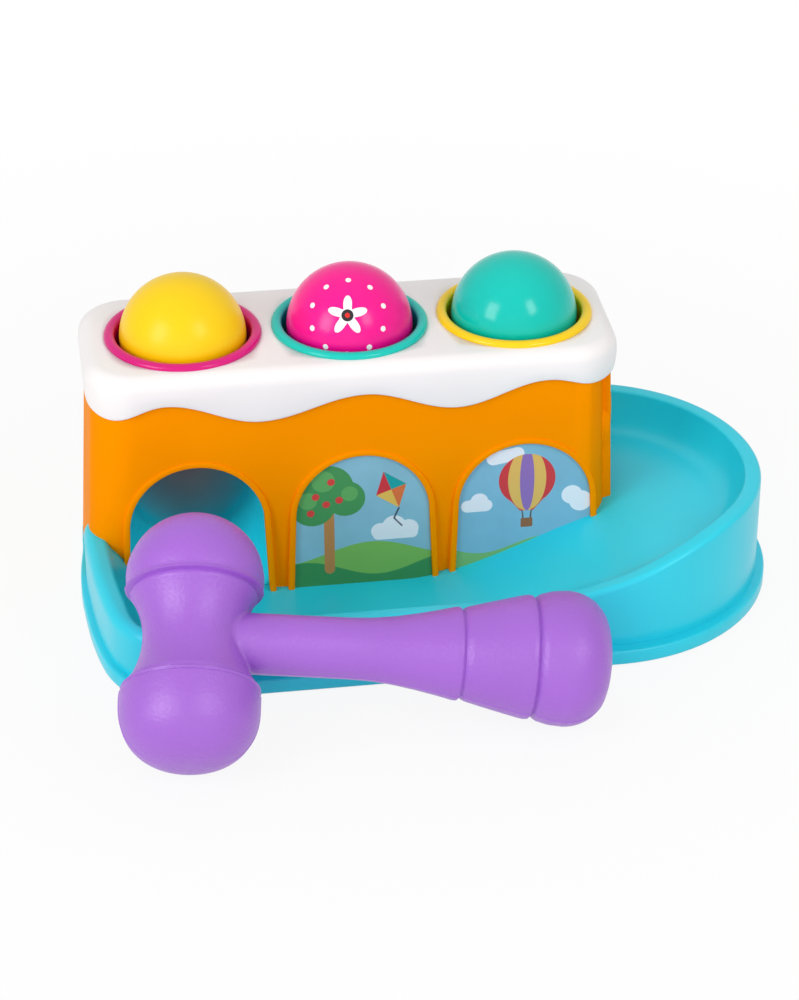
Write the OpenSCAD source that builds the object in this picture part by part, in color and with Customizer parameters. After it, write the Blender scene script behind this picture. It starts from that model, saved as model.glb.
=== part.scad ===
// Pound-a-ball ramp toy: three balls are hammered down through soft rings into a house,
// and roll out of it, down a ramp that turns round its end, into a basin in front.
// Millimetres. The origin is on the underside of the base, below the middle ball.
// +X runs along the row of balls to the turn of the ramp, -Y is the front, +Z is up.

/* [Balls] */
// Diameter of each ball
ball_d = 48; // [45:0.5:54]
// Wall thickness of the hollow balls
ball_wall = 2; // [1.2:0.1:3]
// How far a ball's centre sits below the top of the cover
ball_sink = 0.7; // [0:0.1:3]

/* [Collars] */
// Gap all round between a ball and its collar
ball_gap = 1.7; // [1:0.1:3]
// Wall thickness of the collar's tube
collar_wall = 2.5; // [2:0.1:4]
// How far the collar's lip laps over the cover
lip_over = 2; // [1:0.1:4]
// Height of the collar's lip above the cover
lip_h = 1.5; // [1:0.1:3]
// Space between the lips of neighbouring collars
collar_space = 3; // [1:0.5:15]
// Height of the collar's foot below the soft ring
collar_foot = 1.3; // [1:0.1:3]

/* [Soft rings] */
// Depth of a ring's upper face below the ball's centre
grip_drop = 12; // [9:0.5:14]
// Thickness of a ring
grip_t = 2; // [1:0.1:3]
// Depth of the groove in the collar that holds the ring
grip_groove = 1.2; // [0.6:0.1:1.4]

/* [Cover] */
// Height of the cover's top above the ground
cover_top = 100; // [98:1:125]
// Wall thickness of the cover
cover_wall = 1.6; // [1.2:0.1:3]
// Margin from the left collar's lip to the cover's left end
cover_end_left = 8.6; // [5:0.2:15]
// Margin from the right collar's lip to the cover's right end
cover_end_right = 6.2; // [5:0.2:15]
// Margin from the collars' lips to the cover's front and back
cover_side = 5; // [4:0.2:12]
// Rounding of the cover's top edge
cover_round = 4.8; // [2:0.2:5]
// Depth of the wavy skirt at its crests, below the top
skirt_crest = 11.7; // [9:0.1:13]
// Depth of the wavy skirt at its drips, below the top
skirt_drip = 20.5; // [16:0.5:28]

/* [House] */
// Wall thickness of the house
house_wall = 2.5; // [1.8:0.1:3.5]
// Corner radius of the house at its foot
house_corner = 13; // [10:0.5:20]
// How much wider the house is on each side at its foot than at its top
house_draft = 3.4; // [0:0.2:5]
// Depth of the inner deck's upper face below the top of the cover
deck_drop = 13.5; // [12:0.5:15]
// Thickness of the inner deck
deck_t = 2.5; // [1.5:0.1:3]
// Gap on each side of a ball in an arch
arch_gap = 1.6; // [1.5:0.1:4]
// Height of the arches' tops above the ground
arch_top = 61; // [60:0.5:70]
// Width of the raised border of an arch
border_w = 2.3; // [1:0.1:3]
// Height of the raised border of an arch
border_h = 0.8; // [0.3:0.1:1.5]
// Depth of the recess that holds a picture
picture_recess = 1.1; // [0.8:0.1:1.4]
// Thickness of a picture
picture_t = 0.5; // [0.3:0.1:0.7]

/* [Ramp tray] */
// Wall thickness of the tray
tray_wall = 2; // [1.6:0.1:2.2]
// Thickness of the tray's rim
rim_t = 5.5; // [4:0.5:8]
// Thickness of the tray's wall outside the house
nest_wall = 2.2; // [1.5:0.1:4]
// Gap on each side of a ball in the front channel
channel_gap = 2.6; // [1.5:0.1:8]
// Gap on each side of a ball in the turn beside the house
turn_gap = 0.5; // [0.5:0.1:8]
// Height of the basin's floor above the ground
basin_z = 5; // [5:0.1:8]
// Height of the turn's floor above the ground
turn_z = 32; // [24:0.5:34]
// Length of the slope between the turn and the basin
slope_len = 100; // [80:1:120]
// How far the slope runs on past the house
slope_out = 15; // [0:1:25]
// Height of the rim at the front
rim_front = 26.5; // [20:0.5:34]
// Height of the rim round the turn
rim_turn = 45.5; // [36:0.5:48]
// Height of the rim beside the house
rim_left = 30; // [26:0.5:36]
// Height of the rim at the back of the turn
rim_back = 46; // [38:0.5:50]
// How far the front left corner of the tray leans inwards
corner_lean = 5.5; // [2:0.5:10]
// Radius of the front left corner of the tray
corner_r = 25; // [15:1:35]
// Width of the cove inside the rim along the front
cove_front = 15; // [8:0.5:20]
// Width of the cove inside the rim round the turn
cove_turn = 12; // [6:0.5:16]
// Width of the cove at the left end of the basin
cove_left = 20; // [10:0.5:24]
// How hollow the cove is: 1 is a straight slope, more is a deeper curve
cove_curve = 2.2; // [1:0.1:3]
// How far below the top of the rim the cove starts
cove_drop = 1.5; // [1:0.1:4]

/* [Base] */
// Thickness of the base plate
base_t = 2.4; // [2.2:0.1:2.8]
// Height of the lip round the base plate
base_lip = 6; // [4.5:0.5:10]
// Width of the ledge that the base forms round the tray
ledge = 3; // [2:0.1:6]

/* [Inner chute] */
// Wall thickness of the chute
chute_wall = 2.2; // [1.5:0.1:3]
// Height of the upper chute above the turn's floor, where it leaves the house
upper_out = 1.5; // [0.5:0.5:2]
// Fall of the upper chute along its length
upper_fall = 4.5; // [1:0.5:6]
// Height of the lower chute above the basin, where the ball drops off it
lower_out = 2.5; // [2:0.5:4]
// Fall of the lower chute along its length
lower_fall = 13; // [8:0.5:16]
// Radius of the concave back of the alcove
alcove_r = 38; // [34:0.5:42]

/* [Screws] */
// Radius of a screw's shank
screw_r = 1.4; // [1:0.1:1.6]
// Radius of a screw's head
screw_head_r = 2.8; // [2.2:0.1:3.2]
// Height of a screw's head
screw_head_h = 1.6; // [1:0.1:1.8]
// Length of a screw's shank
screw_len = 9; // [6:0.5:9.5]
// Radius of a screw's boss
boss_r = 3.6; // [3:0.1:4]

/* [Hammer] */
// Radius of the hammer's two bulbs
bulb_r = 25; // [22:0.5:28]
// Distance of each bulb's centre from the middle of the head
bulb_out = 24; // [20:0.5:30]
// Distance of the step from the bulb's centre, towards the waist
bulb_step = 5.5; // [4:0.5:10]
// Radius just inside the step
step_r = 23; // [18:0.5:23.5]
// Radius of the head's waist
waist_r = 17.6; // [14:0.2:18]
// Radius of the neck of the handle
neck_r = 11; // [8:0.2:13]
// Distance from the head's axis to the start of the grip
grip_start = 70; // [60:1:85]
// Length of each of the grip's first two sections
section_len = 26; // [20:0.5:32]
// Length of the grip's rounded last section
end_len = 28; // [24:0.5:36]
// Largest radius of the grip
grip_r = 24.5; // [22:0.5:25]
// Depth of the grooves between the grip's sections
groove_h = 1; // [0.4:0.1:1.5]
// Wall thickness of the hollow hammer
hammer_wall = 2; // [1.2:0.1:3]
// Place of the far bulb along the row
hammer_x = -69; // [-74:1:-50]
// Turn of the handle away from the row, in degrees
hammer_yaw = -4; // [-8:0.5:0]

/* [Hidden] */

$fn = 64;
fit = 0.3;          // clearance between pieces that only lie beside each other
past = 1;           // how far a cutting shape runs past what it cuts
corner_steps = 8;   // straight stretches in a rounded corner
turn_steps = 40;    // straight stretches in the tray's half round end
wave_step = 3;      // length of a straight stretch along the skirt's wave
slope_steps = 16;   // straight stretches along the tray's slope
rise_steps = 12;    // straight stretches along a rise of the rim
cove_steps = 6;     // straight stretches across the cove
lean_steps = 5;     // straight stretches along the left end of the cove

blue = [0.36, 0.77, 0.88];
orange = [0.98, 0.55, 0.06];
white = [0.96, 0.96, 0.96];
pink = [0.93, 0.11, 0.55];
teal = [0.13, 0.74, 0.65];
yellow = [0.99, 0.85, 0.07];
purple = [0.53, 0.30, 0.74];
steel = [0.7, 0.7, 0.72];
soft_grey = [0.5, 0.5, 0.53];

// Balls, collars and rings, from the ball outwards
ball_r = ball_d / 2;
ball_z = cover_top - ball_sink;
bore_r = ball_r + ball_gap;
tube_r = bore_r + collar_wall;
lip_r = tube_r + lip_over;
pitch = 2 * lip_r + collar_space;
grip_z = ball_z - grip_drop;
grip_in = sqrt(ball_r * ball_r - grip_drop * grip_drop) + fit;
collar_low = grip_z - grip_t - collar_foot;

// Cover and house: half lengths along X and Y
cover_x = pitch + lip_r + (cover_end_left + cover_end_right) / 2;
cover_y = lip_r + cover_side;
cover_under = cover_top - cover_wall;
skirt_lap = house_draft * skirt_drip / (cover_top - base_t);  // the house's widening behind the skirt
top_x = cover_x - cover_wall - fit - skirt_lap;
top_y = cover_y - cover_wall - fit - skirt_lap;
foot_x = top_x + house_draft;
foot_y = top_y + house_draft;
house_mid = (cover_end_right - cover_end_left) / 2;
house_left = house_mid - foot_x;
house_right = house_mid + foot_x;
house_top = cover_under - fit;
house_h = house_top - base_t;
cover_corner = house_corner + cover_wall + fit;
wave_x = pitch * 1.12;
deck_z = cover_top - deck_drop;
arch_r = ball_r + arch_gap;
arch_z = arch_top - arch_r;

// Tray: its outline is arcs round four centres, all inset alike
tray_back = foot_y + fit + nest_wall + ledge;
tray_front = -(foot_y + ball_d + 2 * channel_gap + rim_t + ledge);
tray_left = house_left - fit - nest_wall - ledge;
tray_right = house_right + ball_d + 2 * turn_gap + rim_t + ledge;
turn_r = (tray_back - tray_front) / 2;
turn_c = [tray_right - turn_r, (tray_back + tray_front) / 2];
knee_r = house_corner + fit + nest_wall + ledge;
back_c = [tray_left + knee_r, tray_back - knee_r];
knee_c = [tray_left + knee_r, -back_c[1]];
front_c = [tray_left + corner_lean + corner_r, tray_front + corner_r];
lean = front_c - knee_c;
lean_a = 360 + atan2(lean[1], lean[0]) - acos((knee_r - corner_r) / norm(lean));
slope_from = house_right + slope_out - slope_len;
rim_inset = ledge + rim_t;
rim_rise = 45;      // where the rim starts to rise, left of the house's right end
rim_out = 44;       // where the rim is at its height, right of the house's right end
tall = cover_top;

// Inner chute
chute_y = top_y - house_wall - 2 * fit;
chute_right = house_mid + top_x - house_wall - 2 * fit;
alcove_left = -pitch - arch_r;
alcove_right = -pitch + arch_r;
chute_split = pitch / 2;
upper_low = turn_z + upper_out;
upper_high = upper_low + upper_fall;
lower_low = basin_z + lower_out;
lower_high = lower_low + lower_fall;
alcove_y = chute_y - alcove_r;

// Screws
boss_x = house_right - house_wall - boss_r - 2 * house_draft;
boss_y = foot_y - house_wall - boss_r - fit;
boss_top = upper_high + boss_r;
exit_y = boss_y - boss_r;
left_boss = (house_corner - house_wall - boss_r) * cos(45);
cover_boss_x = pitch / 2;
cover_boss_y = top_y - house_wall - boss_r;
turn_boss = [for (side = [-1, 1]) turn_c + [turn_r / 2, side * turn_r / 2]];
left_bosses = [for (side = [-1, 1])
    [house_left + house_corner - left_boss, side * (foot_y - house_corner + left_boss)]];
base_boss = concat(left_bosses, [for (side = [-1, 1]) [boss_x, side * boss_y]]);
cover_boss = [for (sx = [-1, 1]) for (sy = [-1, 1]) [sx * cover_boss_x, sy * cover_boss_y]];

// Hammer: the near bulb and the grip lie on the ground, the far bulb leans on the front rim
bulb_rise = rim_front + fit;
mid_z = bulb_r + bulb_rise / 2;
grip_widest = grip_start + 2 * section_len + end_len * 0.35;
handle_len = grip_start + 2 * section_len + end_len;
hammer_tilt = asin(mid_z / norm([grip_widest, grip_r])) - atan2(grip_r, grip_widest);
hammer_pitch = asin(bulb_rise / (2 * bulb_out * cos(hammer_tilt)));
hammer_y = tray_front + ledge / 2;
neck_root = waist_r / 3;
first_flare = 0.42;   // share of the grip's swelling at the first groove
second_flare = 0.85;  // share of the grip's swelling at the second groove
end_square = 0.6;     // roundness of the grip's end: 1 is an ellipse, less is squarer
seam_turn = 40;       // turns each round shape's own seam away from the other shape

function mix(a, b, t) = a + (b - a) * t;
// A smooth step from 0 to 1
function ease(t) = let (u = min(1, max(0, t))) u * u * (3 - 2 * u);
function arc(c, r, from, to, steps) =
    [for (i = [0:steps]) c + r * [cos(mix(from, to, i / steps)), sin(mix(from, to, i / steps))]];
function floor_z(x) = mix(basin_z, turn_z, ease((x - slope_from) / slope_len));
// A rise from one height to another, as flat points between two places
function rise(from, to, low, high, steps) =
    [for (i = [0:steps]) [mix(from, to, i / steps), mix(low, high, ease(i / steps))]];
function skirt(t) = cover_top - mix(skirt_drip, skirt_crest, (1 + cos(360 * t)) / 2);
function steps_of(a, b, n) = [for (i = [0:n]) mix(a, b, i / n)];
function slope_points(down) =
    [for (x = steps_of(slope_from, slope_from + slope_len, slope_steps)) [x, floor_z(x) - down]];

function tray_outline(inset) = concat(
    arc(turn_c, turn_r - inset, -90, 90, turn_steps),
    arc(back_c, knee_r - inset, 90, 180, corner_steps),
    arc(knee_c, knee_r - inset, 180, lean_a, 2),
    arc(front_c, corner_r - inset, lean_a, 270, corner_steps));

// The height of the rim at a place
function rim_z(p) = max(
    mix(rim_front, rim_turn, ease((p[0] - house_right + rim_rise) / (rim_rise + rim_out))),
    p[0] > house_right && p[1] > turn_c[1]
        ? mix(rim_turn, rim_back, ease((p[1] - turn_c[1] - past) / (foot_y - turn_c[1] - past))) : 0,
    p[0] < 0
        ? mix(rim_front, rim_left,
              ease((p[1] - tray_front - ledge) / (knee_c[1] - knee_r - tray_front - ledge))) : 0);

// The inner edge of the rim, all round the tray
function cove_path() = let (out = [cos(lean_a), sin(lean_a)]) concat(
    arc(turn_c, turn_r - rim_inset, -90, 90, turn_steps),
    arc(back_c, knee_r - rim_inset, 90, 180, corner_steps),
    [for (i = [0:lean_steps - 1])
        mix(knee_c + (knee_r - rim_inset) * out, front_c + (corner_r - rim_inset) * out, i / lean_steps)],
    arc(front_c, corner_r - rim_inset, lean_a, 270, corner_steps),
    [for (i = [1:slope_steps - 1]) [mix(front_c[0], turn_c[0], i / slope_steps), tray_front + rim_inset]]);

function cove_width(x) = mix(mix(cove_front, cove_turn, ease((x - house_right + rim_rise) / rim_rise)),
                             cove_left, ease((-pitch - x) / ball_r));

// A place on the way from the rim's edge to the middle line of the basin, the slope and the turn
function cove_place(p, far) =
    let (way = [min(turn_c[0], max(-pitch, p[0])), turn_c[1]] - p) p + way * far / norm(way);

// A point there, at a given depth below the cove's surface, but no lower than a least depth below the floor
function cove_point(p, share, down, least) =
    let (q = cove_place(p, cove_width(p[0]) * share),
         high = max(0, rim_z(p) - cove_drop - floor_z(q[0])))
    [q[0], q[1], floor_z(q[0]) + max(high * pow(1 - share, cove_curve) - down, -least)];

// The cove's section at a place: its surface, and a straight underside inside the floor
function cove_section(p) = let (q = cove_place(p, -past), e = cove_place(p, cove_width(p[0]))) concat(
    [[q[0], q[1], floor_z(q[0]) - tray_wall / 2], [q[0], q[1], max(rim_z(p) - cove_drop, floor_z(q[0]))]],
    [for (s = steps_of(0, 1, cove_steps)) cove_point(p, s, 0, 0)],
    [[e[0], e[1], floor_z(e[0]) - tray_wall / 2]]);

// The hollow under the cove, which leaves about a wall's thickness where the cove is steep
function core_section(p) = let (low = tray_wall + past, e = cove_place(p, cove_width(p[0]))) concat(
    [[p[0], p[1], floor_z(p[0]) - low]],
    [for (s = steps_of(0, 1, cove_steps)) cove_point(p, s, tray_wall * mix(3, 1, s), low - past / 2)],
    [[e[0], e[1], floor_z(e[0]) - low]]);

// All that lies under the skirt's wave, as a flat profile, with a crest at 0
module under_wave(from, to, wave) {
    polygon(concat([[from, 0]],
                   [for (t = steps_of(from, to, ceil((to - from) / wave_step))) [t, skirt(t / wave)]],
                   [[to, 0]]));
}

// A flat profile of X and Z, carried along Y
module along_y(from, to) {
    translate([0, to, 0])
        rotate([90, 0, 0])
            linear_extrude(to - from)
                children();
}

// A flat profile of Y and Z, carried along X
module along_x(from, to) {
    translate([from, 0, 0])
        rotate([90, 0, 90])
            linear_extrude(to - from)
                children();
}

module rounded(x, y, r) {
    polygon([for (q = [0:3])
        for (p = arc([(q == 0 || q == 3 ? 1 : -1) * (x - r), (q < 2 ? 1 : -1) * (y - r)],
                     r, 90 * q, 90 * q + 90, corner_steps)) p]);
}

module slab(inset, from, to) {
    translate([0, 0, from])
        linear_extrude(to - from)
            polygon(tray_outline(inset));
}

// All that lies under the tray's floor, less a given depth
module under_floor(down) {
    along_y(tray_front - past, tray_back + past)
        polygon(concat([[tray_left - past, -past], [tray_left - past, basin_z - down]],
                       slope_points(down),
                       [[tray_right + past, turn_z - down], [tray_right + past, -past]]));
}

// A flat profile that rises once between two places, and is level on both sides of them
module under_rise(left, from, to, right, low, high) {
    polygon(concat([[left, 0], [left, low]],
                   rise(from, to, low, high, rise_steps),
                   [[right, high], [right, 0]]));
}

// All that lies under the tray's rim, which rises to the turn, round it, behind the house and beside it
module under_rim() {
    along_y(tray_front - past, tray_back + past)
        under_rise(tray_left - past, house_right - rim_rise, house_right + rim_out, tray_right + past,
                   rim_front, rim_turn);
    along_x(house_right, tray_right + past)
        under_rise(turn_c[1], turn_c[1] + past, foot_y, tray_back + past, rim_turn, rim_back);
    along_y(0, tray_back + past)
        under_rise(tray_left - past, 0, house_right, house_right + past, rim_left, rim_back);
    along_x(tray_left - past, 0)
        under_rise(tray_front - past, tray_front + ledge, knee_c[1] - knee_r, tray_back + past,
                   rim_front, rim_left);
}

// A closed ring of sections that have the same number of points each
module band(sections) {
    n = len(sections);
    k = len(sections[0]);
    polyhedron(
        [for (section = sections) for (p = section) p],
        [for (i = [0:n - 1]) for (j = [0:k - 1])
            let (a = i * k, b = (i + 1) % n * k, m = (j + 1) % k)
                each [[a + j, b + m, b + j], [a + j, a + m, b + m]]]);
}

module at(places, z) {
    for (p = places) translate([p[0], p[1], z]) children();
}

module base_plate() {
    color(blue)
        difference() {
            slab(0, 0, base_lip);
            slab(ledge - fit, base_t, base_lip + past);
            at(concat(base_boss, turn_boss), -past) cylinder(h = base_t + 2 * past, r = screw_r + fit);
            at(concat(base_boss, turn_boss), -past)
                cylinder(h = screw_head_h + past, r = screw_head_r + fit);
        }
}

// The room that the house takes up in the tray, with a given space round it
module house_seat(space) {
    translate([house_mid, 0, base_t - past])
        linear_extrude(tall)
            rounded(foot_x + space, foot_y + space, house_corner + space);
}

module ramp_tray() {
    color(blue)
        difference() {
            union() {
                difference() {
                    intersection() {
                        slab(ledge, base_t, tall);
                        under_rim();
                    }
                    difference() {
                        slab(rim_inset, base_t, tall);
                        under_floor(0);
                        band([for (p = cove_path()) cove_section(p)]);
                    }
                    difference() {
                        house_seat(fit);
                        under_floor(0);
                    }
                    intersection() {
                        slab(ledge + tray_wall, base_t - past, tall);
                        under_floor(tray_wall);
                    }
                    difference() {
                        band([for (p = cove_path()) core_section(p)]);
                        house_seat(fit + tray_wall);
                    }
                }
                at(turn_boss, base_t) cylinder(h = turn_z - tray_wall - base_t, r = boss_r);
            }
            at(turn_boss, base_t - past) cylinder(h = screw_len + past, r = screw_r);
            at(base_boss, base_t - past) cylinder(h = turn_z, r = boss_r + fit);
        }
}

// The chute's side view, from the lower end to the upper one, less a given depth
module chute_side(down, inset) {
    polygon(concat(
        [[alcove_right + inset, lower_low - down], [chute_split + inset, lower_high - down],
         [chute_split + inset, upper_high - down], [chute_right - inset, upper_low - down]],
        [for (x = steps_of(chute_right - inset, alcove_right + inset, slope_steps))
            [x, floor_z(x) - 2 * down]]));
}

module inner_chute() {
    color(blue)
        difference() {
            union() {
                difference() {
                    along_y(-chute_y, chute_y) chute_side(0, 0);
                    along_y(-chute_y + chute_wall, chute_y - chute_wall) chute_side(chute_wall, chute_wall);
                }
                difference() {
                    translate([alcove_left, alcove_y, basin_z])
                        cube([alcove_right - alcove_left, alcove_r, alcove_r]);
                    translate([alcove_left - past, alcove_y, basin_z + alcove_r])
                        rotate([0, 90, 0])
                            cylinder(h = alcove_right - alcove_left + 2 * past, r = alcove_r - chute_wall);
                    difference() {
                        translate([alcove_left + chute_wall, alcove_y, basin_z - past])
                            cube([alcove_right - alcove_left - 2 * chute_wall, alcove_r + past, tall]);
                        translate([alcove_left, alcove_y, basin_z + alcove_r])
                            rotate([0, 90, 0])
                                cylinder(h = alcove_right - alcove_left, r = alcove_r);
                    }
                }
            }
            under_floor(0);
            at(base_boss, 0) cylinder(h = tall, r = boss_r + 2 * fit);
        }
}

// The house as a solid that narrows upwards, with all its sides set in
module house_body(inset) {
    translate([house_mid, 0, base_t])
        linear_extrude(house_h, slices = 1,
                       scale = [(top_x - inset) / (foot_x - inset), (top_y - inset) / (foot_y - inset)])
            rounded(foot_x - inset, foot_y - inset, house_corner - inset);
}

// An arch of the front wall, as a flat outline of X and Z
module arch_outline(x, grow) {
    translate([x, arch_z])
        circle(r = arch_r + grow);
    translate([x - arch_r - grow, 0])
        square([2 * (arch_r + grow), arch_z]);
}

module arch_cut(x, grow, back) {
    along_y(-foot_y - 2 * border_h, back) arch_outline(x, grow);
}

module house_shell() {
    color(orange)
        difference() {
            union() {
                difference() {
                    union() {
                        house_body(0);
                        intersection() {
                            house_body(-border_h);
                            union() {
                                for (i = [-1:1]) arch_cut(i * pitch, border_w, 0);
                            }
                        }
                    }
                    difference() {
                        house_body(house_wall);
                        translate([house_left, -foot_y, deck_z - deck_t])
                            cube([2 * foot_x, 2 * foot_y, deck_t]);
                    }
                    arch_cut(-pitch, 0, 0);
                    for (i = [0:1])
                        difference() {
                            arch_cut(i * pitch, 0, 0);
                            house_body(picture_recess);
                        }
                    translate([0, -exit_y, turn_z])
                        cube([house_right + past, 2 * exit_y, deck_z - deck_t - turn_z]);
                    under_floor(0);
                }
                at(base_boss, base_t) cylinder(h = boss_top - base_t, r = boss_r);
            }
            for (i = [-1:1])
                translate([i * pitch, 0, deck_z - deck_t - past])
                    cylinder(h = deck_t + 2 * past, r = tube_r + fit);
            at(cover_boss, deck_z - deck_t - past) cylinder(h = deck_t + 2 * past, r = screw_r + fit);
            at(base_boss, base_t - past) cylinder(h = screw_len + past, r = screw_r);
        }
}

module top_cover() {
    color(white)
        difference() {
            union() {
                difference() {
                    hull() {
                        for (a = [0:22.5:90])
                            translate([house_mid, 0, cover_top - skirt_drip])
                                linear_extrude(skirt_drip - cover_round * (1 - sin(a)))
                                    rounded(cover_x - cover_round * (1 - cos(a)),
                                            cover_y - cover_round * (1 - cos(a)),
                                            cover_corner - cover_round * (1 - cos(a)));
                    }
                    translate([house_mid, 0, cover_top - skirt_drip - past])
                        linear_extrude(skirt_drip + past - cover_wall)
                            rounded(cover_x - cover_wall, cover_y - cover_wall, cover_corner - cover_wall);
                    along_y(-cover_y - past, cover_y + past)
                        under_wave(house_mid - cover_x - past, house_mid + cover_x + past, wave_x);
                    along_x(house_mid - cover_x - past, house_mid + cover_x + past)
                        under_wave(-cover_y - past, cover_y + past, 2 * cover_y);
                }
                at(cover_boss, deck_z) cylinder(h = cover_under - deck_z, r = boss_r);
            }
            for (i = [-1:1])
                translate([i * pitch, 0, cover_under - past])
                    cylinder(h = cover_wall + 2 * past, r = tube_r + fit);
            at(cover_boss, deck_z - past) cylinder(h = screw_len - deck_t + past, r = screw_r);
        }
}

module collar(i) {
    barb_h = cover_wall;
    translate([i * pitch, 0, 0])
        rotate_extrude()
            difference() {
                polygon([[bore_r, collar_low], [tube_r, collar_low], [tube_r, cover_under - barb_h],
                         [tube_r + 2 * fit, cover_under], [tube_r, cover_under], [tube_r, cover_top],
                         [lip_r, cover_top], [lip_r - lip_h * 0.15, cover_top + lip_h * 0.6],
                         [lip_r - lip_h * 0.6, cover_top + lip_h], [bore_r + lip_h * 0.6, cover_top + lip_h],
                         [bore_r + lip_h * 0.15, cover_top + lip_h * 0.6], [bore_r, cover_top]]);
                translate([bore_r - past, grip_z - grip_t])
                    square([grip_groove + past, grip_t]);
            }
}

module grip_ring(i) {
    color(soft_grey)
        translate([i * pitch, 0, grip_z - grip_t])
            difference() {
                cylinder(h = grip_t, r = bore_r + grip_groove);
                translate([0, 0, -past])
                    cylinder(h = grip_t + 2 * past, r = grip_in);
            }
}

module ball(i) {
    translate([i * pitch, 0, ball_z])
        difference() {
            sphere(r = ball_r);
            sphere(r = ball_r - ball_wall);
        }
}

module picture(i) {
    difference() {
        intersection() {
            house_body(picture_recess - picture_t);
            arch_cut(i * pitch, -fit, 0);
        }
        house_body(picture_recess);
        under_floor(-fit);
    }
}

// Half of the head's profile, from the waist to the bulb's end, thinned by a wall
function head_half(wall) = concat(
    [for (t = [0:0.25:1]) [mix(waist_r, step_r, t * t) - wall, (bulb_out - bulb_step) * t]],
    [for (a = [-asin(bulb_step / bulb_r):10:89]) [cos(a), sin(a)] * (bulb_r - wall) + [0, bulb_out]],
    [[0, bulb_out + bulb_r - wall]]);

module head(wall) {
    half = head_half(wall);
    rotate([-90, 0, 0])
        rotate([0, 0, 180 - seam_turn])
            rotate_extrude()
                polygon(concat(half, [for (i = [len(half) - 1:-1:1]) [half[i][0], -half[i][1]]]));
}

// The handle: a straight neck, two flared sections with a groove after each, and a round end
module handle(wall) {
    s1 = grip_start + section_len;
    s2 = s1 + section_len;
    r1 = mix(neck_r, grip_r, first_flare);
    r2 = mix(neck_r, grip_r, second_flare);
    rotate([0, 90, 0])
        rotate([0, 0, seam_turn])
            rotate_extrude()
                polygon(concat(
                    [[0, neck_root], [neck_r - wall, neck_root], [neck_r - wall, grip_start],
                     [r1 - wall, s1 - groove_h], [r1 - groove_h - wall, s1], [r1 - wall, s1 + groove_h],
                     [r2 - wall, s2 - groove_h], [r2 - groove_h - wall, s2], [r2 - wall, s2 + groove_h],
                     [grip_r - wall, grip_widest]],
                    [for (a = [10:10:80]) [(grip_r - wall) * pow(cos(a), end_square),
                                           grip_widest + (handle_len - wall - grip_widest) * sin(a)]],
                    [[0, handle_len - wall]]));
}

module hammer() {
    color(purple)
        translate([hammer_x, hammer_y, mid_z + bulb_rise / 2])
            rotate([0, 0, hammer_yaw])
                rotate([0, hammer_tilt, 0])
                    rotate([hammer_pitch, 0, 0])
                        translate([0, -bulb_out, 0])
                            difference() {
                                union() {
                                    head(0);
                                    handle(0);
                                }
                                head(hammer_wall);
                                handle(hammer_wall);
                            }
}

// A pan-headed screw that points up, with its shank's foot at the origin
module screw() {
    translate([0, 0, -screw_head_h])
        cylinder(h = screw_head_h, r = screw_head_r);
    cylinder(h = screw_len - fit, r = screw_r);
}

module cover_screws() {
    color(steel) at(cover_boss, deck_z - deck_t) screw();
}

module base_screws() {
    color(steel) at(concat(base_boss, turn_boss), screw_head_h) screw();
}

base_plate();
ramp_tray();
inner_chute();
house_shell();
top_cover();
color(pink) collar(-1);  // collar_left
color(teal) collar(0);  // collar_middle
color(yellow) collar(1);  // collar_right
grip_ring(-1);  // grip_ring_left
grip_ring(0);  // grip_ring_middle
grip_ring(1);  // grip_ring_right
color(yellow) ball(-1);  // ball_left
color(pink) ball(0);  // ball_middle
color(teal) ball(1);  // ball_right
color("lightgreen") picture(0);  // picture_middle
color("skyblue") picture(1);  // picture_right
hammer();
cover_screws();
base_screws();
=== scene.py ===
import math
import bmesh
import bpy
import numpy as np
from mathutils import Matrix, Vector


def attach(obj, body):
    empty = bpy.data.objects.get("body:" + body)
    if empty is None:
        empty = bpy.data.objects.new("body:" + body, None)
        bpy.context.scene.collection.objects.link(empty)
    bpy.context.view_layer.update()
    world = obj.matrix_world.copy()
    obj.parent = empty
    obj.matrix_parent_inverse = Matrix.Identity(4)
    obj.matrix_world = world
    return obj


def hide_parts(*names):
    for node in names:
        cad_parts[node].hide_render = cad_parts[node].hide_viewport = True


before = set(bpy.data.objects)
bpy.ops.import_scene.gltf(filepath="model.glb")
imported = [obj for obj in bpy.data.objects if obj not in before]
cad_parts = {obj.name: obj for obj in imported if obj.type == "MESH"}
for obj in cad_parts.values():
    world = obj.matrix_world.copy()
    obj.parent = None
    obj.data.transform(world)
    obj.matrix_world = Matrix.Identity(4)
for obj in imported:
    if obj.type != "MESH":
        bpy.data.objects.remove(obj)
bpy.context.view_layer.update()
print("frame loaded:", len(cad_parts), "nodes")

mm = 0.001  # the pieces' sizes are in millimetres
weld = 0.002 * mm  # points nearer than this become one
sharpFrom = 38.0  # degrees between two faces


def mix(a, b, t):
    return a + (b - a) * t


def ease(t):  # smooth step: 0 below 0, 1 above 1, with level ends
    t = np.clip(t, 0.0, 1.0)
    return t * t * (3.0 - 2.0 * t)


def through(x, places, heights):  # cosine curve through a row of crests and hollows
    places, heights = np.asarray(places, float), np.asarray(heights, float)
    i = np.clip(np.searchsorted(places, x) - 1, 0, len(places) - 2)
    t = np.clip((x - places[i]) / (places[i + 1] - places[i]), 0.0, 1.0)
    return mix(heights[i], heights[i + 1], (1.0 - np.cos(np.pi * t)) / 2.0)


def sheet(points, closeRows=False, closeCols=False, flip=False):
    return dict(points=np.asarray(points, float), closeRows=closeRows, closeCols=closeCols, flip=flip)


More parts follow.
